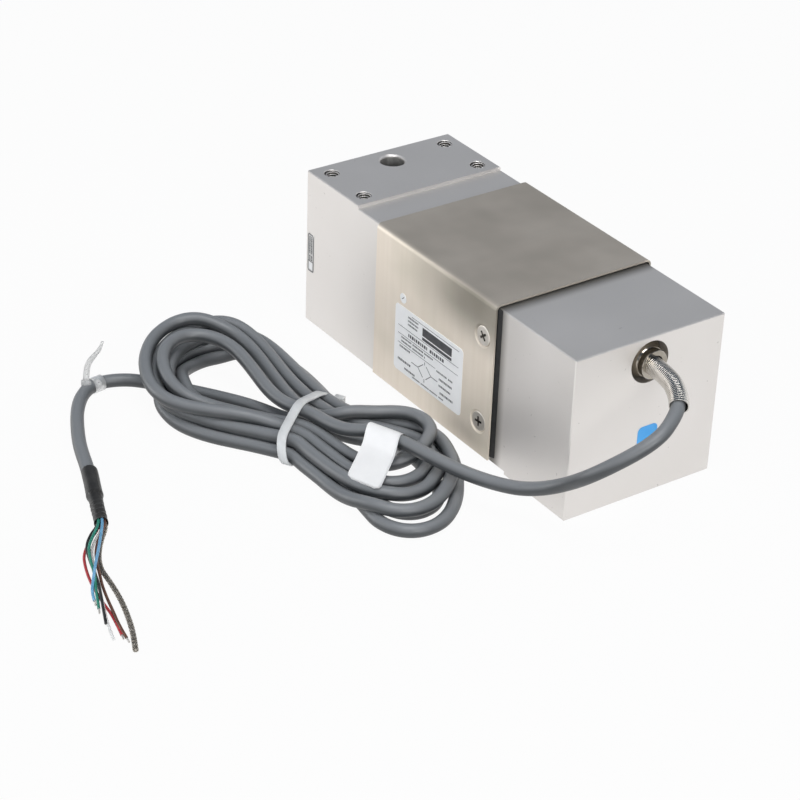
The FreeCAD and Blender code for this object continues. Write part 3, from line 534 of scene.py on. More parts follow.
RIGHT_TURNS = [
    [(9, -91, 8.5), (22, -89, 7.5), (34, -84.5, 7.5), (39.5, -74.5, 9), (37.5, -62.5, 11.5),
     (31.5, -52, 13.3), (22, -48.5, 14.5), (12.5, -52.5, 14.3), (6.5, -61.5, 12.8), (1.5, -72, 11.2),
     (-3.5, -81, 9.8)],
    [(5, -98, 9.1), (16, -97, 8.6), (28.5, -96.5, 8.3), (40, -95, 8), (49, -90, 8), (52, -80.5, 8),
     (49, -69.5, 8), (39, -59.5, 8), (25.5, -52.5, 8), (19.5, -59, 8), (9, -68.5, 8.3), (-1, -77, 8.9)],
    [(7, -103, 8.7), (17.5, -102, 8.3), (29.5, -101.5, 8), (42.5, -100.5, 8), (53, -95, 8),
     (58.5, -86, 7.5), (58, -76, 6.5), (49.5, -65, 5), (37, -56, 3.5), (28, -53, 3), (18, -56.5, 3),
     (7, -66, 3), (-3, -74.5, 3.6)],
    [(9, -105.5, 3.3), (21.5, -104.5, 3), (34, -105, 4), (47, -105.5, 6.5), (58, -102.5, 8.5),
     (67, -96.5, 8.5), (70.5, -88, 8.5), (66, -77, 8.5), (55.5, -65, 8.3), (40, -54.5, 8), (22, -46.5, 8),
     (15.5, -53, 8), (5, -62.5, 8), (-5, -71, 8.5)],
    [(7.5, -100, 3.2), (21.5, -99, 3), (35.5, -100, 3), (47.5, -101.5, 3), (61, -104.5, 3),
     (71.5, -102.5, 3), (79, -96.5, 3), (76.5, -84, 3), (69, -72.5, 3), (58, -62.5, 3), (43, -53.5, 3),
     (23.5, -45.5, 3), (13, -49, 3), (2.5, -59, 3), (-7.5, -67, 3.3)],
    [(6, -95, 3.2), (20.5, -94.5, 3), (35.5, -95, 3), (48, -96, 3), (58.5, -96.5, 3), (68, -92.5, 3),
     (70, -83, 3), (63.5, -73, 3), (51.5, -63, 3), (39.5, -63, 3), (27, -63, 3), (15, -66.5, 3),
     (4, -74.5, 3), (-2, -79.5, 3.6)],
]
TAIL_UNDER = [(-24, -93, 3), (-40, -98.5, 3), (-54, -107.5, 3), (-68, -118, 3)]


def in_tie(place):
    across, height = place
    x = WAIST[0] - across * math.sin(WAIST_TURN)
    y = WAIST[1] + across * math.cos(WAIST_TURN)
    return (x, y, height)


# The hank's rest: tightest fold, half the span it is measured over, air between strands, how many points
# along don't push each other, rounds, and how often and how far off strands are looked for
FOLD = 19
SPAN = 3
AIR = 0.05
NEIGHBOURS = 8
ROUNDS = 200
LOOK_EVERY = 10
LOOK_REACH = 3
# Each round: share evened out along the cable, share of the move kept, fall, and shares of the mends
EVEN_OUT = 0.4
KEEP = 0.985
FALL = 0.015
STIFFNESS = 0.4
PUSH = 0.9


def settle(line, held):
    """Let the turns come to rest: a diameter apart, on the floor and bent no tighter than a fold."""
    first = line.copy()
    count = len(line)
    spots = np.arange(count)
    apart = np.abs(spots[:, None] - spots[None]) > NEIGHBOURS
    clear = CABLE + AIR
    for turn in range(ROUNDS):
        moved = line - first
        moved[1:-1] += EVEN_OUT * ((moved[:-2] + moved[2:]) / 2 - moved[1:-1])
        moved *= KEEP
        line = first + moved
        line[:, 2] -= FALL
        if turn % LOOK_EVERY == 0:
            far = np.linalg.norm(line[:, None] - line[None], axis=2)
            here, there = np.nonzero(apart & (far < clear + LOOK_REACH))
        sag = (line[:-2 * SPAN] + line[2 * SPAN:]) / 2 - line[SPAN:-SPAN]
        deep = lengths(sag) + SMALL
        reach = lengths(line[2 * SPAN:] - line[:-2 * SPAN]) / 2
        past = np.maximum(deep - reach ** 2 / (2 * FOLD), 0)
        line[SPAN:-SPAN] += STIFFNESS * sag / deep[:, None] * past[:, None]
        gap = line[here] - line[there]
        distance = lengths(gap) + SMALL
        short = np.maximum(clear - distance, 0)
        push = gap / distance[:, None] * short[:, None]
        pushes = np.stack([np.bincount(here, push[:, axis], count) for axis in range(3)], axis=1)
        touches = np.maximum(np.bincount(here, short > 0, count), 1)
        line += PUSH * pushes / (1 + touches[:, None] * 0.5)
        line[:, 2] = np.maximum(line[:, 2], CABLE / 2)
        line[held] = first[held]
    return line


def hank_points():
    points = [in_tie(LEAD_PLACE)]
    for left, near, right, far in zip(LEFT_TURNS, NEAR_PLACES, RIGHT_TURNS, FAR_PLACES):
        points += left + [in_tie(near)] + right + [in_tie(far)]
    return points


# Reach of the tie's hold on each strand
HOLD = 3


def make_cable(material):
    line = line_of(LEAD + hank_points() + TAIL_UNDER + TAIL, 6)
    begin = np.argmin(distances(line, LEAD[-2]))
    finish = len(line) - 1 - np.argmin(distances(line[::-1], TAIL[0]))
    held = np.zeros(len(line), bool)
    held[:begin] = True
    held[finish:] = True
    for place in [LEAD_PLACE] + NEAR_PLACES + FAR_PLACES:
        held |= distances(line, in_tie(place)) < HOLD
    # Every third point of the settled line carries the spline
    rest = settle(line, held)[begin + 3:finish - 2:3]
    route = LEAD[:-1] + [tuple(point) for point in rest] + TAIL
    cable = new_curve("cable", route, CABLE)
    cable.data.materials.append(material)
    return cable, line_of(route)


# Sleeve and cores at the cable's far end
SLEEVE_START = Vector((-29.8, -182.3, 3.4))
SLEEVE_TURN = math.radians(-21.3)
SLEEVE_LENGTH = 38
CORE = 1.2
RING = 1.7
CORES = {
    "brown": (28, [
        (9.7, -2.1, 3.2), (17.6, -4.4, 3), (25.5, -5, 2.9), (33, -4.7, 2.1), (39, -4.6, 1.4),
        (48.7, -3.8, 1.6), (57.4, -2.7, 1.9), (65.4, -1.7, 1.4), (72.6, 0.1, 0.7),
    ]),
    "blue": (76.8, [
        (11.2, -1.6, 4.8), (19.6, -3.5, 4.6), (27.6, -5.5, 4.5), (33, -6.7, 4.3), (38, -7.9, 2.8),
        (43, -9, 1.5), (47.4, -8.6, 0.8),
    ]),
    "green": (125.6, [
        (9.5, -4.6, 3.8), (15.5, -6.9, 3.3), (24.1, -7.2, 3.2), (32.7, -6.7, 3.1), (41.8, -7.3, 2.2),
        (47, -7.4, 1.5), (52.8, -7.6, 0.8),
    ]),
    "black": (174.4, [
        (6.1, -5, 2.6), (13, -7.6, 2), (22.3, -7.3, 1.9), (32.7, -6.2, 1.9), (40, -5.9, 2.7),
        (47, -6.1, 3.1), (55, -6.2, 2.2), (63.4, -6.3, 1.4),
    ]),
    "red": (223.2, [
        (7, -5.2, 1), (16.4, -9, 0.8), (25, -9.3, 0.7), (33.9, -8.7, 0.7), (42.8, -7.1, 0.7),
        (50.9, -5.2, 0.7), (58.3, -3, 0.7), (70.5, -1.4, 0.7),
    ]),
    "white": (272, [
        (8, -3.4, 1.2), (14, -5.6, 0.9), (22.8, -6.2, 0.7), (34.4, -6, 0.7), (40, -5.9, 1.3),
        (47, -5.9, 1.9), (55, -5.8, 1), (63.8, -5.6, 0.7), (72.7, -4.7, 0.7),
    ]),
}
BRAID_ROUTE = (-30, [
    (8, -1, 1.3), (14, -2.6, 1.1), (20, -3.6, 1.1), (26.8, -3.8, 1.1), (31.4, -2.8, 1.1), (38.7, -0.9, 1.1),
    (49.1, 1.2, 1.1), (60.6, 2.4, 1.1), (71.6, 2.8, 1.1), (81.6, 2.2, 1.1),
])
# Tinned ends: how far one stands out of the colour and reaches back into it, how low it lies, its strands,
# their radius and pitch, the ring that they lie on and the radius of its heart
TIPPED = ("brown", "blue", "green", "red")
TIP = 2.6
TIP_BACK = 0.6
TIP_LOW = 0.45
STRANDS = 6
STRAND = 0.13
STRAND_PITCH = 4
STRAND_RING = 0.27
TIP_HEART = 0.16


def sleeve_spot(along, across, height):
    """Point given from the middle of the sleeve's mouth, with its height above the floor."""
    reach = SLEEVE_LENGTH + along
    x = SLEEVE_START.x + reach * math.cos(SLEEVE_TURN) - across * math.sin(SLEEVE_TURN)
    y = SLEEVE_START.y + reach * math.sin(SLEEVE_TURN) + across * math.cos(SLEEVE_TURN)
    return (x, y, height)


def core_points(angle, route):
    across = RING * math.cos(math.radians(angle))
    height = SLEEVE_START.z + RING * math.sin(math.radians(angle))
    straight = [sleeve_spot(-1, across, height), sleeve_spot(2, across, height)]
    return straight + [sleeve_spot(*spot) for spot in route]


def make_tip(name, points, material):
    """Twisted bare strands that go on from the end of a core."""
    line = line_of(points)
    axis = line[-1] + unit(line[-1] - line[-2]) * np.linspace(-TIP_BACK, TIP, 12)[:, None]
    axis[:, 2] = np.maximum(axis[:, 2], TIP_LOW)
    parts = [tube_mesh(axis, TIP_HEART, 6)]
    for turn in round_angles(STRANDS):
        parts.append(tube_mesh(coil_round(axis, STRAND_RING, STRAND_PITCH, 16, turn), STRAND, 6))
    tip = new_mesh(name + "_tip", parts, material)
    return dress(tip, "core_" + name)


def make_cores(materials):
    for name, (angle, route) in CORES.items():
        points = core_points(angle, route)
        piece = new_curve(name + "_core", points, CORE)
        tips = [make_tip(name, points, materials["tinned"])] if name in TIPPED else []
        piece.data.materials.append(materials["core_" + name])
        dress(piece, "core_" + name, "core_" + name)
        length_of(line_of(points)) * MM
    braid, line = make_braid(materials["braid"])
    dress(braid, "braid", "shield_braid")


# Guard of flat wire, close wound round the cable where it leaves the gland
GUARD_OUTER = 4
GUARD_PITCH = 0.95
GUARD_START_X = 92.5
GUARD_MOUTH = (123.5, -8.7, 59)
# Section of the wire, along the guard and in from its outside
WIRE_SECTION = [
    (-0.46, 0.16), (-0.445, 0.03), (-0.38, 0.005), (0, 0), (0.38, 0.005), (0.445, 0.03), (0.46, 0.16),
    (0.46, 0.6), (-0.46, 0.6),
]
# How far, and which way, the mouth stands off to the outside of the bend
MOUTH_SHIFT = 0.4
MOUTH_WAY = unit((0.45, 0.45, 0.1))
PER_TURN = 28


def wind(line, angles):
    """Points of the flat wire, wound round a line at the given angles."""
    ahead, across, up = frames(line)
    out = np.cos(angles)[:, None] * across + np.sin(angles)[:, None] * up
    return sweep(line + out * GUARD_OUTER, ahead, -out, WIRE_SECTION)


def make_guard(route, material):
    line = line_of(route, 24)
    start = length_of(line[:np.argmax(line[:, 0] > GUARD_START_X) + 1])
    stop = length_of(line[:np.argmin(distances(line, GUARD_MOUTH)) + 1])
    middle = resample(line, start, stop, GUARD_PITCH / PER_TURN)
    late = np.clip(np.linspace(-1.5, 1, len(middle)), 0, 1)
    middle = middle + MOUTH_SHIFT * (late ** 2)[:, None] * MOUTH_WAY
    sides = len(WIRE_SECTION)
    angles = 2 * math.pi / PER_TURN * np.arange(len(middle))
    coil = (wind(middle, angles), ring_faces(len(middle), sides))
    turn = round_angles(PER_TURN * 2)
    end = middle[-1] + (middle[-1] - middle[-2]) * np.linspace(0, 0.001, len(turn))[:, None]
    rim = (wind(end, turn), ring_faces(len(turn), sides, closed=True))
    return new_mesh("wire_guard", [coil, rim], material)


# Nylon tie round the waist of the hank, with its strap's section along the hank and out from the strands
TIE_SECTION = [
    (-1.95, 0.3), (-1.65, 0), (1.65, 0), (1.95, 0.3), (1.95, 0.8), (1.65, 1.1), (-1.65, 1.1), (-1.95, 0.8),
]
TIE_THICK = 1.1
TIE_CENTRES = [(-22.4, 4.2), (22, 4.2), (17.4, 8.8), (-0.4, 13.2), (-19.4, 9.3)]
TIE_LEAN = 0.35
TIE_STEPS = 120
TIE_SMOOTHING = 14
TIE_HEAD = (4.6, 3.4, 5.4)
TIE_HEAD_HEIGHT = 3.6
BEVEL = 0.5


def tie_outline(reach):
    """Closed outline round the strands in the tie, across and up, with its outward directions."""
    corners = []
    centres = np.array(TIE_CENTRES)
    edges = np.roll(centres, -1, axis=0) - centres
    ways = np.arctan2(edges[:, 1], edges[:, 0])
    for centre, before, after in zip(centres, np.roll(ways, 1), ways):
        angles = before - math.pi / 2 + (after - before) % (2 * math.pi) * np.linspace(0, 1, 7)
        corners += list(centre + reach * np.stack([np.cos(angles), np.sin(angles)], axis=1))
    loop = np.array(corners + corners[:1])
    outline = resample(loop, 0, length_of(loop), length_of(loop) / TIE_STEPS)[:-1]
    for _ in range(TIE_SMOOTHING):
        outline = (np.roll(outline, 1, axis=0) + 2 * outline + np.roll(outline, -1, axis=0)) / 4
    ahead = np.roll(outline, -1, axis=0) - np.roll(outline, 1, axis=0)
    out = np.stack([ahead[:, 1], -ahead[:, 0]], axis=1)
    return outline, out / lengths(out)[:, None]


def make_tie(material):
    along = np.array((math.cos(WAIST_TURN), math.sin(WAIST_TURN), 0))
    across = np.array((-along[1], along[0], 0))
    lean = np.array((across, (0, 0, 1) - TIE_LEAN * along))
    outline, outward = tie_outline(CABLE / 2 + 0.15)
    points = sweep((*WAIST, 0) + outline @ lean, along, outward @ lean, TIE_SECTION)
    strap = (points, ring_faces(len(outline), len(TIE_SECTION), closed=True))
    head_points, head_faces = block_mesh(TIE_HEAD)
    aside = TIE_CENTRES[1][0] + CABLE / 2 + TIE_THICK + TIE_HEAD[1] / 2
    head = head_points @ np.array((along, across, (0, 0, 1))) + in_tie((aside, TIE_HEAD_HEIGHT))
    return new_mesh("hank_tie", [strap, (head, head_faces)], material)


# Shrunk sleeve over the end of the jacket: radius along its outside, and down inside its mouth
SLEEVE_RADII = [
    (0, 3), (0.05, 3.28), (0.4, 3.36), (4, 3.4), (9, 3.34), (15, 3.38), (17.2, 3.44), (18.2, 3.5),
    (18.8, 3.4), (20, 3.02), (22, 2.82), (24, 2.78), (38, 2.7),
]
SLEEVE_MOUTH = [(0, 2.62), (0.8, 2.5), (3, 2.45)]
SLEEVE_SIDES = 48


def make_sleeve(material):
    reaches = np.concatenate([[0, 0.05], np.linspace(0.4, SLEEVE_LENGTH, 118)])
    radii = np.interp(reaches, *zip(*SLEEVE_RADII))
    turn = round_angles(SLEEVE_SIDES)
    points = []

    def ring(reach, radius):
        height = SLEEVE_START.z + radius * np.sin(turn)
        points.extend(zip(*sleeve_spot(reach - SLEEVE_LENGTH, radius * np.cos(turn), height)))

    for reach, radius in zip(reaches, radii):
        drift = 0.6 + 0.4 * np.sin(turn + reach * 0.4)
        waves = drift * np.sin(reach * 2.05 + 1.2 * np.sin(turn * 2 + 0.6))
        folds = 0.17 * rise(reach, 21, 24) * waves
        swell = 0.05 * (1 - rise(reach, 17, 19)) * np.sin(turn * 3 + reach * 0.23) * min(reach, 1)
        lip = 0.16 * rise(reach, SLEEVE_LENGTH - 0.8, SLEEVE_LENGTH)
        ring(reach, radius + folds + swell + lip)
    for depth, radius in SLEEVE_MOUTH:
        ring(SLEEVE_LENGTH - depth, radius)
    faces = ring_faces(len(points) // SLEEVE_SIDES, SLEEVE_SIDES)
    return new_mesh("shrunk_sleeve", [(points, faces)], material)


# Woven screen, cut off short: wires each way round, their radius, pitch and ring, and how flat it lies
BRAID_WIRES = 8
BRAID_WIRE = 0.17
BRAID_PITCH = 9
BRAID_RING = 0.8
BRAID_FLAT = (1.1, 0.8)


def make_braid(material):
    line = line_of(core_points(*BRAID_ROUTE))
    parts = [tube_mesh(resample(line, 0, length_of(line), 1), 0.55, 10)]
    for hand in (1, -1):
        for wire, turn in enumerate(round_angles(BRAID_WIRES)):

            def weave(angle, hand=hand, wire=wire):
                return 0.1 * np.cos(angle * BRAID_WIRES / 2 + wire * math.pi) * hand

            path = coil_round(line, BRAID_RING, BRAID_PITCH * hand, 44, turn, weave, BRAID_FLAT)
            parts.append(tube_mesh(path, BRAID_WIRE, 5))
    return new_mesh("screen_braid", parts, material), line


# Paper flag folded round the lead
FLAG_SPOT = np.array((27.6, -77.7, 17.3))
FLAG_ALONG = unit((-16.1, -5.49, -0.9))
FLAG_HANG = unit((0.613, -0.76, -0.217))
FLAG_WIDTH = 16.5
FLAG_LENGTH = 27.6
FLAG_CORNER = 2.6
PAPER = 0.16
# How far out from the lead the plies meet, where the free end starts to curl, and how much
PLIES_MEET = 9.5
CURL_START = 8
CURL = 0.0015
FLAG_ROWS = 25
FLAG_COLUMNS = 12


def flag_side(side):
    """Section of one ply, out from the lead and above the flag's middle plane."""
    radius = CABLE / 2 + PAPER + 0.1
    spots = []
    for angle in np.linspace(math.pi, math.pi / 2, 9):
        spots.append((radius * math.cos(angle), side * radius * math.sin(angle)))
    for share in np.linspace(0, 1, FLAG_ROWS)[1:]:
        out = share * FLAG_LENGTH
        open_share = 0.5 + 0.5 * math.cos(math.pi * min(out / PLIES_MEET, 1))
        spots.append((out, side * (PAPER / 2 + (radius - PAPER / 2) * open_share)))
    return spots


def make_flag(material):
    skew = FLAG_HANG.dot(FLAG_ALONG)
    out = unit(FLAG_HANG - FLAG_ALONG * skew)
    above = np.cross(FLAG_ALONG, out)
    parts = []
    for side in (1, -1):
        section = flag_side(side)
        points = []
        for level in (0.5, -0.5):
            for reach, height in section:
                past = max(reach - (FLAG_LENGTH - FLAG_CORNER), 0)
                half = FLAG_WIDTH / 2 - FLAG_CORNER + math.sqrt(max(FLAG_CORNER ** 2 - past ** 2, 0))
                for column in np.linspace(-half, half, FLAG_COLUMNS):
                    curl = CURL * max(reach - CURL_START, 0) ** 2 * (0.5 + column / FLAG_WIDTH)
                    points.append(
                        FLAG_SPOT + FLAG_ALONG * (column + skew * max(reach, 0)) + out * reach
                        + above * (height + level * PAPER * side + curl))
        grid = np.arange(len(points)).reshape(2, len(section), FLAG_COLUMNS)
        faces = []
        for sheet, order in zip(grid, (-1, 1)):
            quads = np.stack([sheet[:-1, :-1], sheet[:-1, 1:], sheet[1:, 1:], sheet[1:, :-1]], axis=2)
            faces += list(quads.reshape(-1, 4)[:, ::order])
        rim = np.array([[*ply[:, 0], *ply[-1, 1:], *ply[-2::-1, -1], *ply[0, -2:0:-1]] for ply in grid])
        after = np.roll(rim, -1, axis=1)
        faces += list(np.stack([rim[0], after[0], after[1], rim[1]], axis=1))
        parts.append((points, faces))
    return new_mesh("paper_flag", parts, material)


# Threads in the tapped holes of both pads
HOLE_ROWS = (-12.5, 12.5)
HOLE_SIDES = (-30, 30)
CORE_RADIUS = 2.5
RIM_RADIUS = 3.6
THREAD_PITCH = 1
THREAD_START = 0.3
THREAD_DEPTH = 11
RIDGE = 0.26
RIDGE_IN = 0.12
# Thin linings of the holes, as depth and radius, down the outside and back up the inside; the tapped holes'
# near-black linings are painted shade
WALL_PROFILE = [(0.24, 3.33), (1.12, 2.47), (12, 2.47), (12, 2.43), (1.1, 2.43), (0.24, 3.29)]
BORE_PROFILE = [(1.2, 5.47), (73.8, 5.47), (73.8, 5.43), (1.2, 5.43)]
BORE_X = -84.9
PAD_MIDDLE = 75
BLOCK_TOP = 75


def thread_ridge(axis):
    """Helical ridge down a hole, wider where the mouth is countersunk."""

    def mouth(angle):
        depth = THREAD_START + angle * THREAD_PITCH / (2 * math.pi)
        return np.maximum(RIM_RADIUS - depth - CORE_RADIUS, 0)

    return tube_mesh(coil_round(axis, CORE_RADIUS - RIDGE_IN, THREAD_PITCH, 28, 0, mouth), RIDGE, 6)


def hole_wall(x, y, face, inward, profile=WALL_PROFILE):
    turn = round_angles(40)
    out = np.stack([np.cos(turn), np.sin(turn), 0 * turn], axis=1)
    points = sweep(np.array((x, y, face)), np.array((0, 0, inward)), out, profile)
    return points, ring_faces(len(turn), len(profile), closed=True)


def make_threads(materials):
    for name, middle, face, inward in (("load", -PAD_MIDDLE, BLOCK_TOP, -1), ("base", PAD_MIDDLE, 0, 1)):
        ridges = []
        walls = []
        for row in HOLE_ROWS:
            for side in HOLE_SIDES:
                depths = np.linspace(THREAD_START, THREAD_START + THREAD_DEPTH, 30)
                axis = np.array([(middle + row, side, face + inward * depth) for depth in depths])
                ridges.append(thread_ridge(axis))
                walls.append(hole_wall(middle + row, side, face, inward))
        dress(new_mesh(name + "_threads", ridges, materials["block"]), "block")
        # Painted shade: near-black linings in the tapped holes
        add_piece(name + "_hole_walls", walls, materials["recess"], "block")
    bore = hole_wall(BORE_X, 0, BLOCK_TOP, -1, BORE_PROFILE)
    add_piece("stop_bore_wall", [bore], materials["bore"], "block")


# Cross-head screws of the cover, each sunk in its dimple: height above the base and turn of the cross
SCREW_X = 38.4
SCREW_FACE = 39.15
SCREW_ROWS = ((17.5, 0.1), (57.5, 0.66))
CROSS_HALF = 0.52
CROSS_REACH = 2.25
CROSS_POINT = (1.5, 0.06)
CROSS_NECK = 1.2
CROSS_TAPER = 0.6
# Head and shank below the flat top, as depth and radius
SCREW_PROFILE = [
    (0, 3.8), (0.03, 4.05), (0.12, 4.28), (0.28, 4.42), (0.45, 4.4), (1.55, 3.3), (1.6, 2.02), (9.6, 2.02),
    (10.6, 1),
]


def cross_radius(angle):
    """Distance from the middle of a cross to its outline."""
    longer, shorter = sorted((abs(math.cos(angle)), abs(math.sin(angle))), reverse=True)
    return min(CROSS_REACH / longer, CROSS_HALF / max(shorter, SMALL))


def cross_angles():
    corner = math.atan2(CROSS_HALF, CROSS_REACH)
    quarter = math.pi / 2
    stops = (0, corner, quarter / 2, quarter - corner, quarter)
    angles = []
    for start in np.arange(4) * quarter:
        for first, last, count in zip(stops, stops[1:], (4, 8, 8, 4)):
            angles += list(start + np.linspace(first, last, count, endpoint=False))
    return angles


def make_screws(materials):
    angles = cross_angles()
    rings = [[CROSS_POINT] * len(angles)]
    for depth, taper in ((CROSS_NECK, CROSS_TAPER), (0, 1)):
        rings.append([(depth, cross_radius(angle) * taper) for angle in angles])
    rings += [[row] * len(angles) for row in SCREW_PROFILE]
    parts = []
    for side in (-1, 1):
        for height, turn in SCREW_ROWS:
            points = []
            for ring in rings:
                for angle, (depth, radius) in zip(angles, ring):
                    x = SCREW_X + radius * math.cos(angle + turn)
                    z = height + radius * math.sin(angle + turn)
                    points.append((x, side * (SCREW_FACE - depth), z))
            faces = ring_faces(len(rings), len(angles))
            parts.append((points, [face[::side] for face in faces]))
    piece = add_piece("cross_screws", parts, materials["screws"], "screws", "cover_screws")
    piece.data.materials.append(materials["recess"])
    # Painted shade: the cross recess and its point are near-black
    inside = 2 * len(angles)
    for index, face in enumerate(piece.data.polygons):
        place = index % len(faces)
        face.material_index = 1 if place < inside or place == len(faces) - 2 else 0


# Near-black strip under the fixed end of the sheet, painted shade for the gap there: out from there and off
# the middle plane
GAP_SHADE_START = 45.2
GAP_SHADE_SECTION = [
    (0, 37.52), (3.3, 37.52), (3, 37.6), (2.4, 37.8), (1.8, 38.1), (1.4, 38.34), (0, 38.36),
]
# Heights of its sections, and how far each reaches out
GAP_SHADE_LEVELS = ((4.2, 0.85), (4.6, 1), (73, 1), (73.3, 0.85))


# Painted shade: near-black strips on both sides beside the sheet's fixed end
def make_gap_shade_strip(material):
    parts = []
    for side in (-1, 1):
        points = []
        for level, share in GAP_SHADE_LEVELS:
            points += [(GAP_SHADE_START + out * share, side * y, level) for out, y in GAP_SHADE_SECTION]
        parts.append((points, ring_faces(len(GAP_SHADE_LEVELS), len(GAP_SHADE_SECTION))))
    dress(new_mesh("cover_gap_shade", parts, material), "seal")


# Printing on the labels, made of plain strokes
INK = 0.03
GAP = 0.005
LABEL_FACE = -39.6
LABEL_LEFT = -22.3
LABEL_TOP = 45
SEAL_FACE = -37.6
# Rows of letter-like blocks, from the label's top left corner: start, end, depth down and height
TEXT_ROWS = [
    (9.4, 17.5, 3.2, 0.8), (9.4, 17, 4.9, 0.8), (9.4, 16, 6.6, 0.8), (10, 36, 11.6, 1.5),
    (5, 28, 14.6, 0.8), (5, 22, 16.4, 0.8), (4, 11, 19.2, 0.9), (3, 12.5, 25.6, 1.1), (31, 42, 18.4, 0.8),
    (33, 43, 21.4, 1), (33, 41, 24.4, 0.9), (34, 43.5, 27.6, 1), (8, 15, 28.6, 0.9), (14, 36, 29.9, 0.6),
]
# Rules, bridge and heading bars by width, as two points
STROKES = {
    0.22: [(2.5, 9.6, 46, 9.6), (2.5, 13.4, 46, 13.4), (2.5, 17.8, 30, 17.8), (12, 2, 46, 2)],
    0.34: [
        (18, 23, 21.4, 20.2), (23.6, 20.2, 27, 23), (27, 23.4, 23.6, 26.4), (21.4, 26.4, 18, 23.4),
        (13, 23.2, 18, 23.2), (27, 23.2, 32, 23.2), (22.5, 18.6, 22.5, 20), (22.5, 26.6, 22.5, 28.4),
    ],
    3.9: [(20, 5.05, 41, 5.05)],
    1.4: [(20, 8.3, 41, 8.3)],
}
DOT_MARK = ((-17.9, 48.2), (-16.3, 49.6), 0.35)
# Film label at the live end: edges of its frame as left, right, low, high and corner, then its columns of
# letters, rule and white window as two points and a width
SEAL_OUTER = (-93.9, -89.3, 27, 45.4, 1.1)
SEAL_INNER = (-93.45, -89.75, 27.45, 44.95, 0.7)
SEAL_COLUMNS = [((x, 44.2), (x, 32.6), 0.9) for x in (-92.4, -90.9)]
SEAL_RULE = ((-93.4, 32), (-89.8, 32), 0.3)
SEAL_WINDOW = ((-92.9, 29.8), (-90.3, 29.8), 3.4)


def stroke(first, last, width, face):
    """Flat bar of ink between two points of a side face, given as x and z."""
    along = unit(np.subtract(last, first))
    half = np.array((-along[1], along[0])) * width / 2
    corners = (first + half, first - half, last - half, last + half)
    points = [(x, face - level, z) for level in (GAP, INK) for x, z in corners]
    return points, ring_faces(2, 4)


def letters(first, last, width, face):
    """Row of short uneven blocks, like small print seen from afar."""
    along = unit(np.subtract(last, first))
    bars = []
    reach = 0
    count = 0
    while reach < math.dist(first, last):
        wide = width * (0.45 + 0.22 * (count * 7 % 3))
        if count * 5 % 11 != 6:
            bars.append(stroke(first + along * reach, first + along * (reach + wide), width, face))
        reach += wide + width * 0.3
        count += 1
    return bars


def rounded_outline(left, right, low, high, corner):
    """Points round a rectangle with rounded corners."""
    middles = np.array(((right, high), (left, high), (left, low), (right, low)))
    middles += corner * np.array(((-1, -1), (1, -1), (1, 1), (-1, 1)))
    outline = []
    for start, (x, z) in enumerate(middles):
        for angle in (start + np.linspace(0, 1, 7)) * math.pi / 2:
            outline.append((x + corner * math.cos(angle), z + corner * math.sin(angle)))
    return outline


def on_label(right, down):
    return (LABEL_LEFT + right, LABEL_TOP - down)


def make_prints(materials):
    ink = materials["print"]
    bars = []
    for start, end, down, high in TEXT_ROWS:
        bars += letters(on_label(start, down), on_label(end, down), high, LABEL_FACE)
    for width, lines in STROKES.items():
        for x0, z0, x1, z1 in lines:
            bars.append(stroke(on_label(x0, z0), on_label(x1, z1), width, LABEL_FACE))
    bars.append(stroke(*DOT_MARK, LABEL_FACE))
    add_piece("label_print", bars, ink, "label")

    points = []
    for near, far in zip(rounded_outline(*SEAL_INNER), rounded_outline(*SEAL_OUTER)):
        for (x, z), level in ((near, GAP), (near, INK), (far, INK), (far, GAP)):
            points.append((x, SEAL_FACE - level, z))
    marks = [(points, ring_faces(len(points) // 4, 4, closed=True))]
    for column in SEAL_COLUMNS:
        marks += letters(*column, SEAL_FACE)
    marks.append(stroke(*SEAL_RULE, SEAL_FACE))
    add_piece("seal_print", marks, ink, "label")
    add_piece("seal_window", [stroke(*SEAL_WINDOW, SEAL_FACE)], materials["label"], "label")


# Blue sticker on the fixed end: left, right, low, high and corner
STICKER = (-2.8, 7.2, 22.4, 32.4, 2.2)
STICKER_THICK = 0.1
FIXED_FACE = 95.5


def make_end_sticker(material):
    outline = rounded_outline(*STICKER)
    points = [(FIXED_FACE + level, y, z) for level in (GAP, STICKER_THICK) for y, z in outline]
    parts = [(points, ring_faces(2, len(outline)))]
    add_piece("blue_sticker", parts, material, "end_label", "end_sticker")


# Clear tie on the tail: a band with a head, and a loose strap with teeth that stands up from the head
TAIL_TIE_SPOT = (-89.2, -146.6, 3)
TAIL_TIE_SECTION = [(-2.6, 0.15), (-2.4, 0), (2.4, 0), (2.6, 0.15), (2.6, 0.55), (-2.6, 0.55)]
TAIL_TIE_ROOT = np.array((-88.4, -152.2, 6))
TAIL_TIE_HEAD = (3.4, 3.6, 3)
STRAP = [(0, 0, 0), (-0.6, 0.4, 4), (-0.2, 1.2, 9), (2.4, 2.6, 13.5), (5.6, 4.2, 18), (6.8, 4.8, 22)]
STRAP_WAY = np.array((0.62, 0.78, 0))
STRAP_HALF = 1.3
STRAP_STEP = 0.4
TOOTH = 0.14


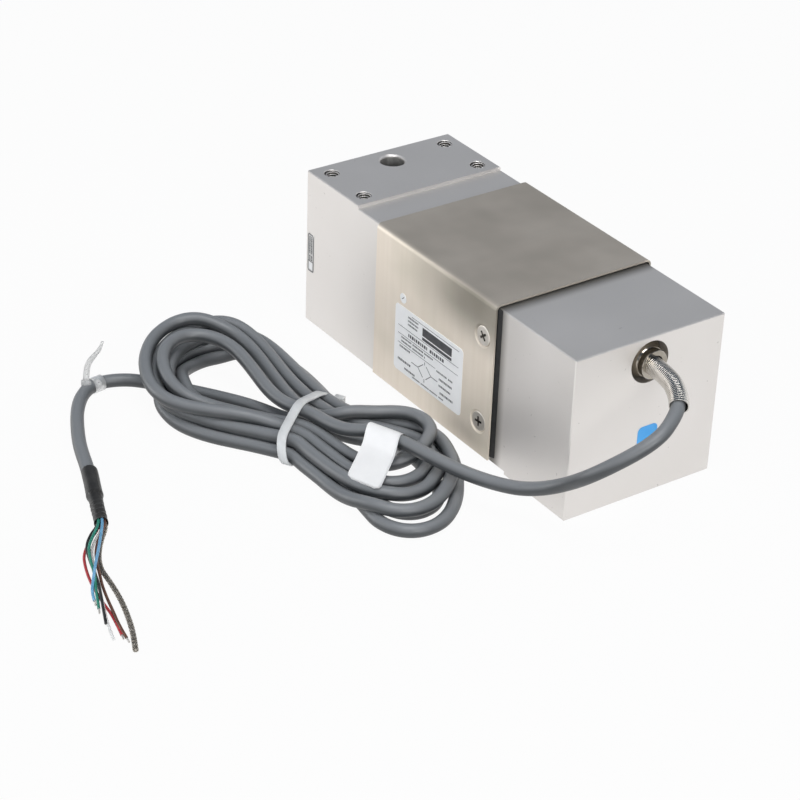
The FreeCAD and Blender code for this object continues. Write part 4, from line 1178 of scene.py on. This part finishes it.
def make_tail_tie(line, material):
    nearest = np.argmin(distances(line, TAIL_TIE_SPOT))
    ahead, across, up = (rows[1] for rows in frames(line[nearest - 1:nearest + 2]))
    turn = round_angles(40)[:, None]
    out = np.cos(turn) * across + np.sin(turn) * up
    points = sweep(line[nearest] + out * (CABLE / 2 + 0.04), ahead, out, TAIL_TIE_SECTION)
    loop = (points, ring_faces(len(turn), len(TAIL_TIE_SECTION), closed=True))
    route = line_of(np.add(STRAP, TAIL_TIE_ROOT))
    strap = resample(route, 0, length_of(route), STRAP_STEP)
    points = []
    for row, (spot, direction) in enumerate(zip(strap, frames(strap)[0])):
        share = row / (len(strap) - 1)
        half = STRAP_HALF * (1 - 0.55 * rise(share, 0.55, 1))
        flat = half * 0.7
        ridge = 0.32 + TOOTH * (row % 2) * (share < 0.6)
        normal = unit(np.cross(direction, STRAP_WAY))
        section = [(-half, -0.3), (half, -0.3), (half, 0.3), (flat, ridge), (-flat, ridge), (-half, 0.3)]
        for wide, high in section:
            points.append(spot + STRAP_WAY * wide + normal * high)
    blade = (points, ring_faces(len(strap), len(section)))
    head_points, head_faces = block_mesh(TAIL_TIE_HEAD)
    head = (head_points + TAIL_TIE_ROOT + (0, 0, -0.2), head_faces)
    return new_mesh("clear_tail_tie", [loop, blade, head], material)


def block_mesh(sizes):
    """Points and faces of a block with rounded edges, about the origin."""
    bm = bmesh.new()
    bmesh.ops.create_cube(bm, size=1)
    bmesh.ops.scale(bm, vec=sizes, verts=bm.verts)
    bmesh.ops.bevel(bm, geom=bm.edges[:], offset=BEVEL, segments=2, affect="EDGES", profile=0.5)
    points = np.array([vertex.co[:] for vertex in bm.verts])
    bm.verts.index_update()
    faces = [tuple(vertex.index for vertex in face.verts) for face in bm.faces]
    bm.free()
    return points, faces


def dress(piece, slot, *nodes):
    """Let a piece ride on the root body and hide the solids it stands for; the slot is not used."""
    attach(piece, "root")
    if nodes:
        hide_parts(*nodes)
    return piece


def add_piece(name, parts, material, slot, *nodes):
    """Flat-shaded piece."""
    return dress(new_mesh(name, parts, material, smooth=False), slot, *nodes)


make_camera()
make_world()
make_floor()
make_lamp("overhead", (0.35, -0.25, 1.25), (0, -0.05, 0), 0.7, 7.2)
make_lamp("left", (-0.9, -1.0, 0.3), (0, -0.05, 0.04), 0.6, 3.5)
make_lamp("right", (1.2, -0.25, 0.55), (0.05, 0, 0.04), 0.6, 6.6)
make_lamp("back", (-1.05, 0.75, 0.77), (0, 0, 0.06), 1.2, 0.75)
make_lamp("panel", (0.24, 1.44, 0.56), (0.1, 0, 0.05), 1.1, 2.2)
make_lamp("front", (-0.3, -1.3, 0.6), (0, -0.05, 0.03), 0.7, 2.7)
make_lamp("fill", (0.8, -1.1, 0.6), (0, -0.05, 0.03), 0.7, 2.7)
materials = make_materials()
dress_solids(materials)

cable, cable_line = make_cable(materials["jacket"])
guard = dress(make_guard(LEAD[:6], materials["guard"]), "guard", "spring_guard")
tie = dress(make_tie(materials["tie"]), "tie", "cable_tie")
flag = dress(make_flag(materials["paper"]), "paper", "flag_label")
tail_tie = dress(make_tail_tie(cable_line, materials["clear_tie"]), "clear_tie", "tail_tie")
sleeve = dress(make_sleeve(materials["sleeve"]), "sleeve", "heat_shrink")
dress(cable, "jacket", "cable_lead", "cable_hank", "cable_tail")
make_cores(materials)
make_threads(materials)
make_screws(materials)
make_gap_shade_strip(materials["seal"])
make_prints(materials)
make_end_sticker(materials["end_label"])

bpy.context.scene.view_settings.view_transform = "Standard"
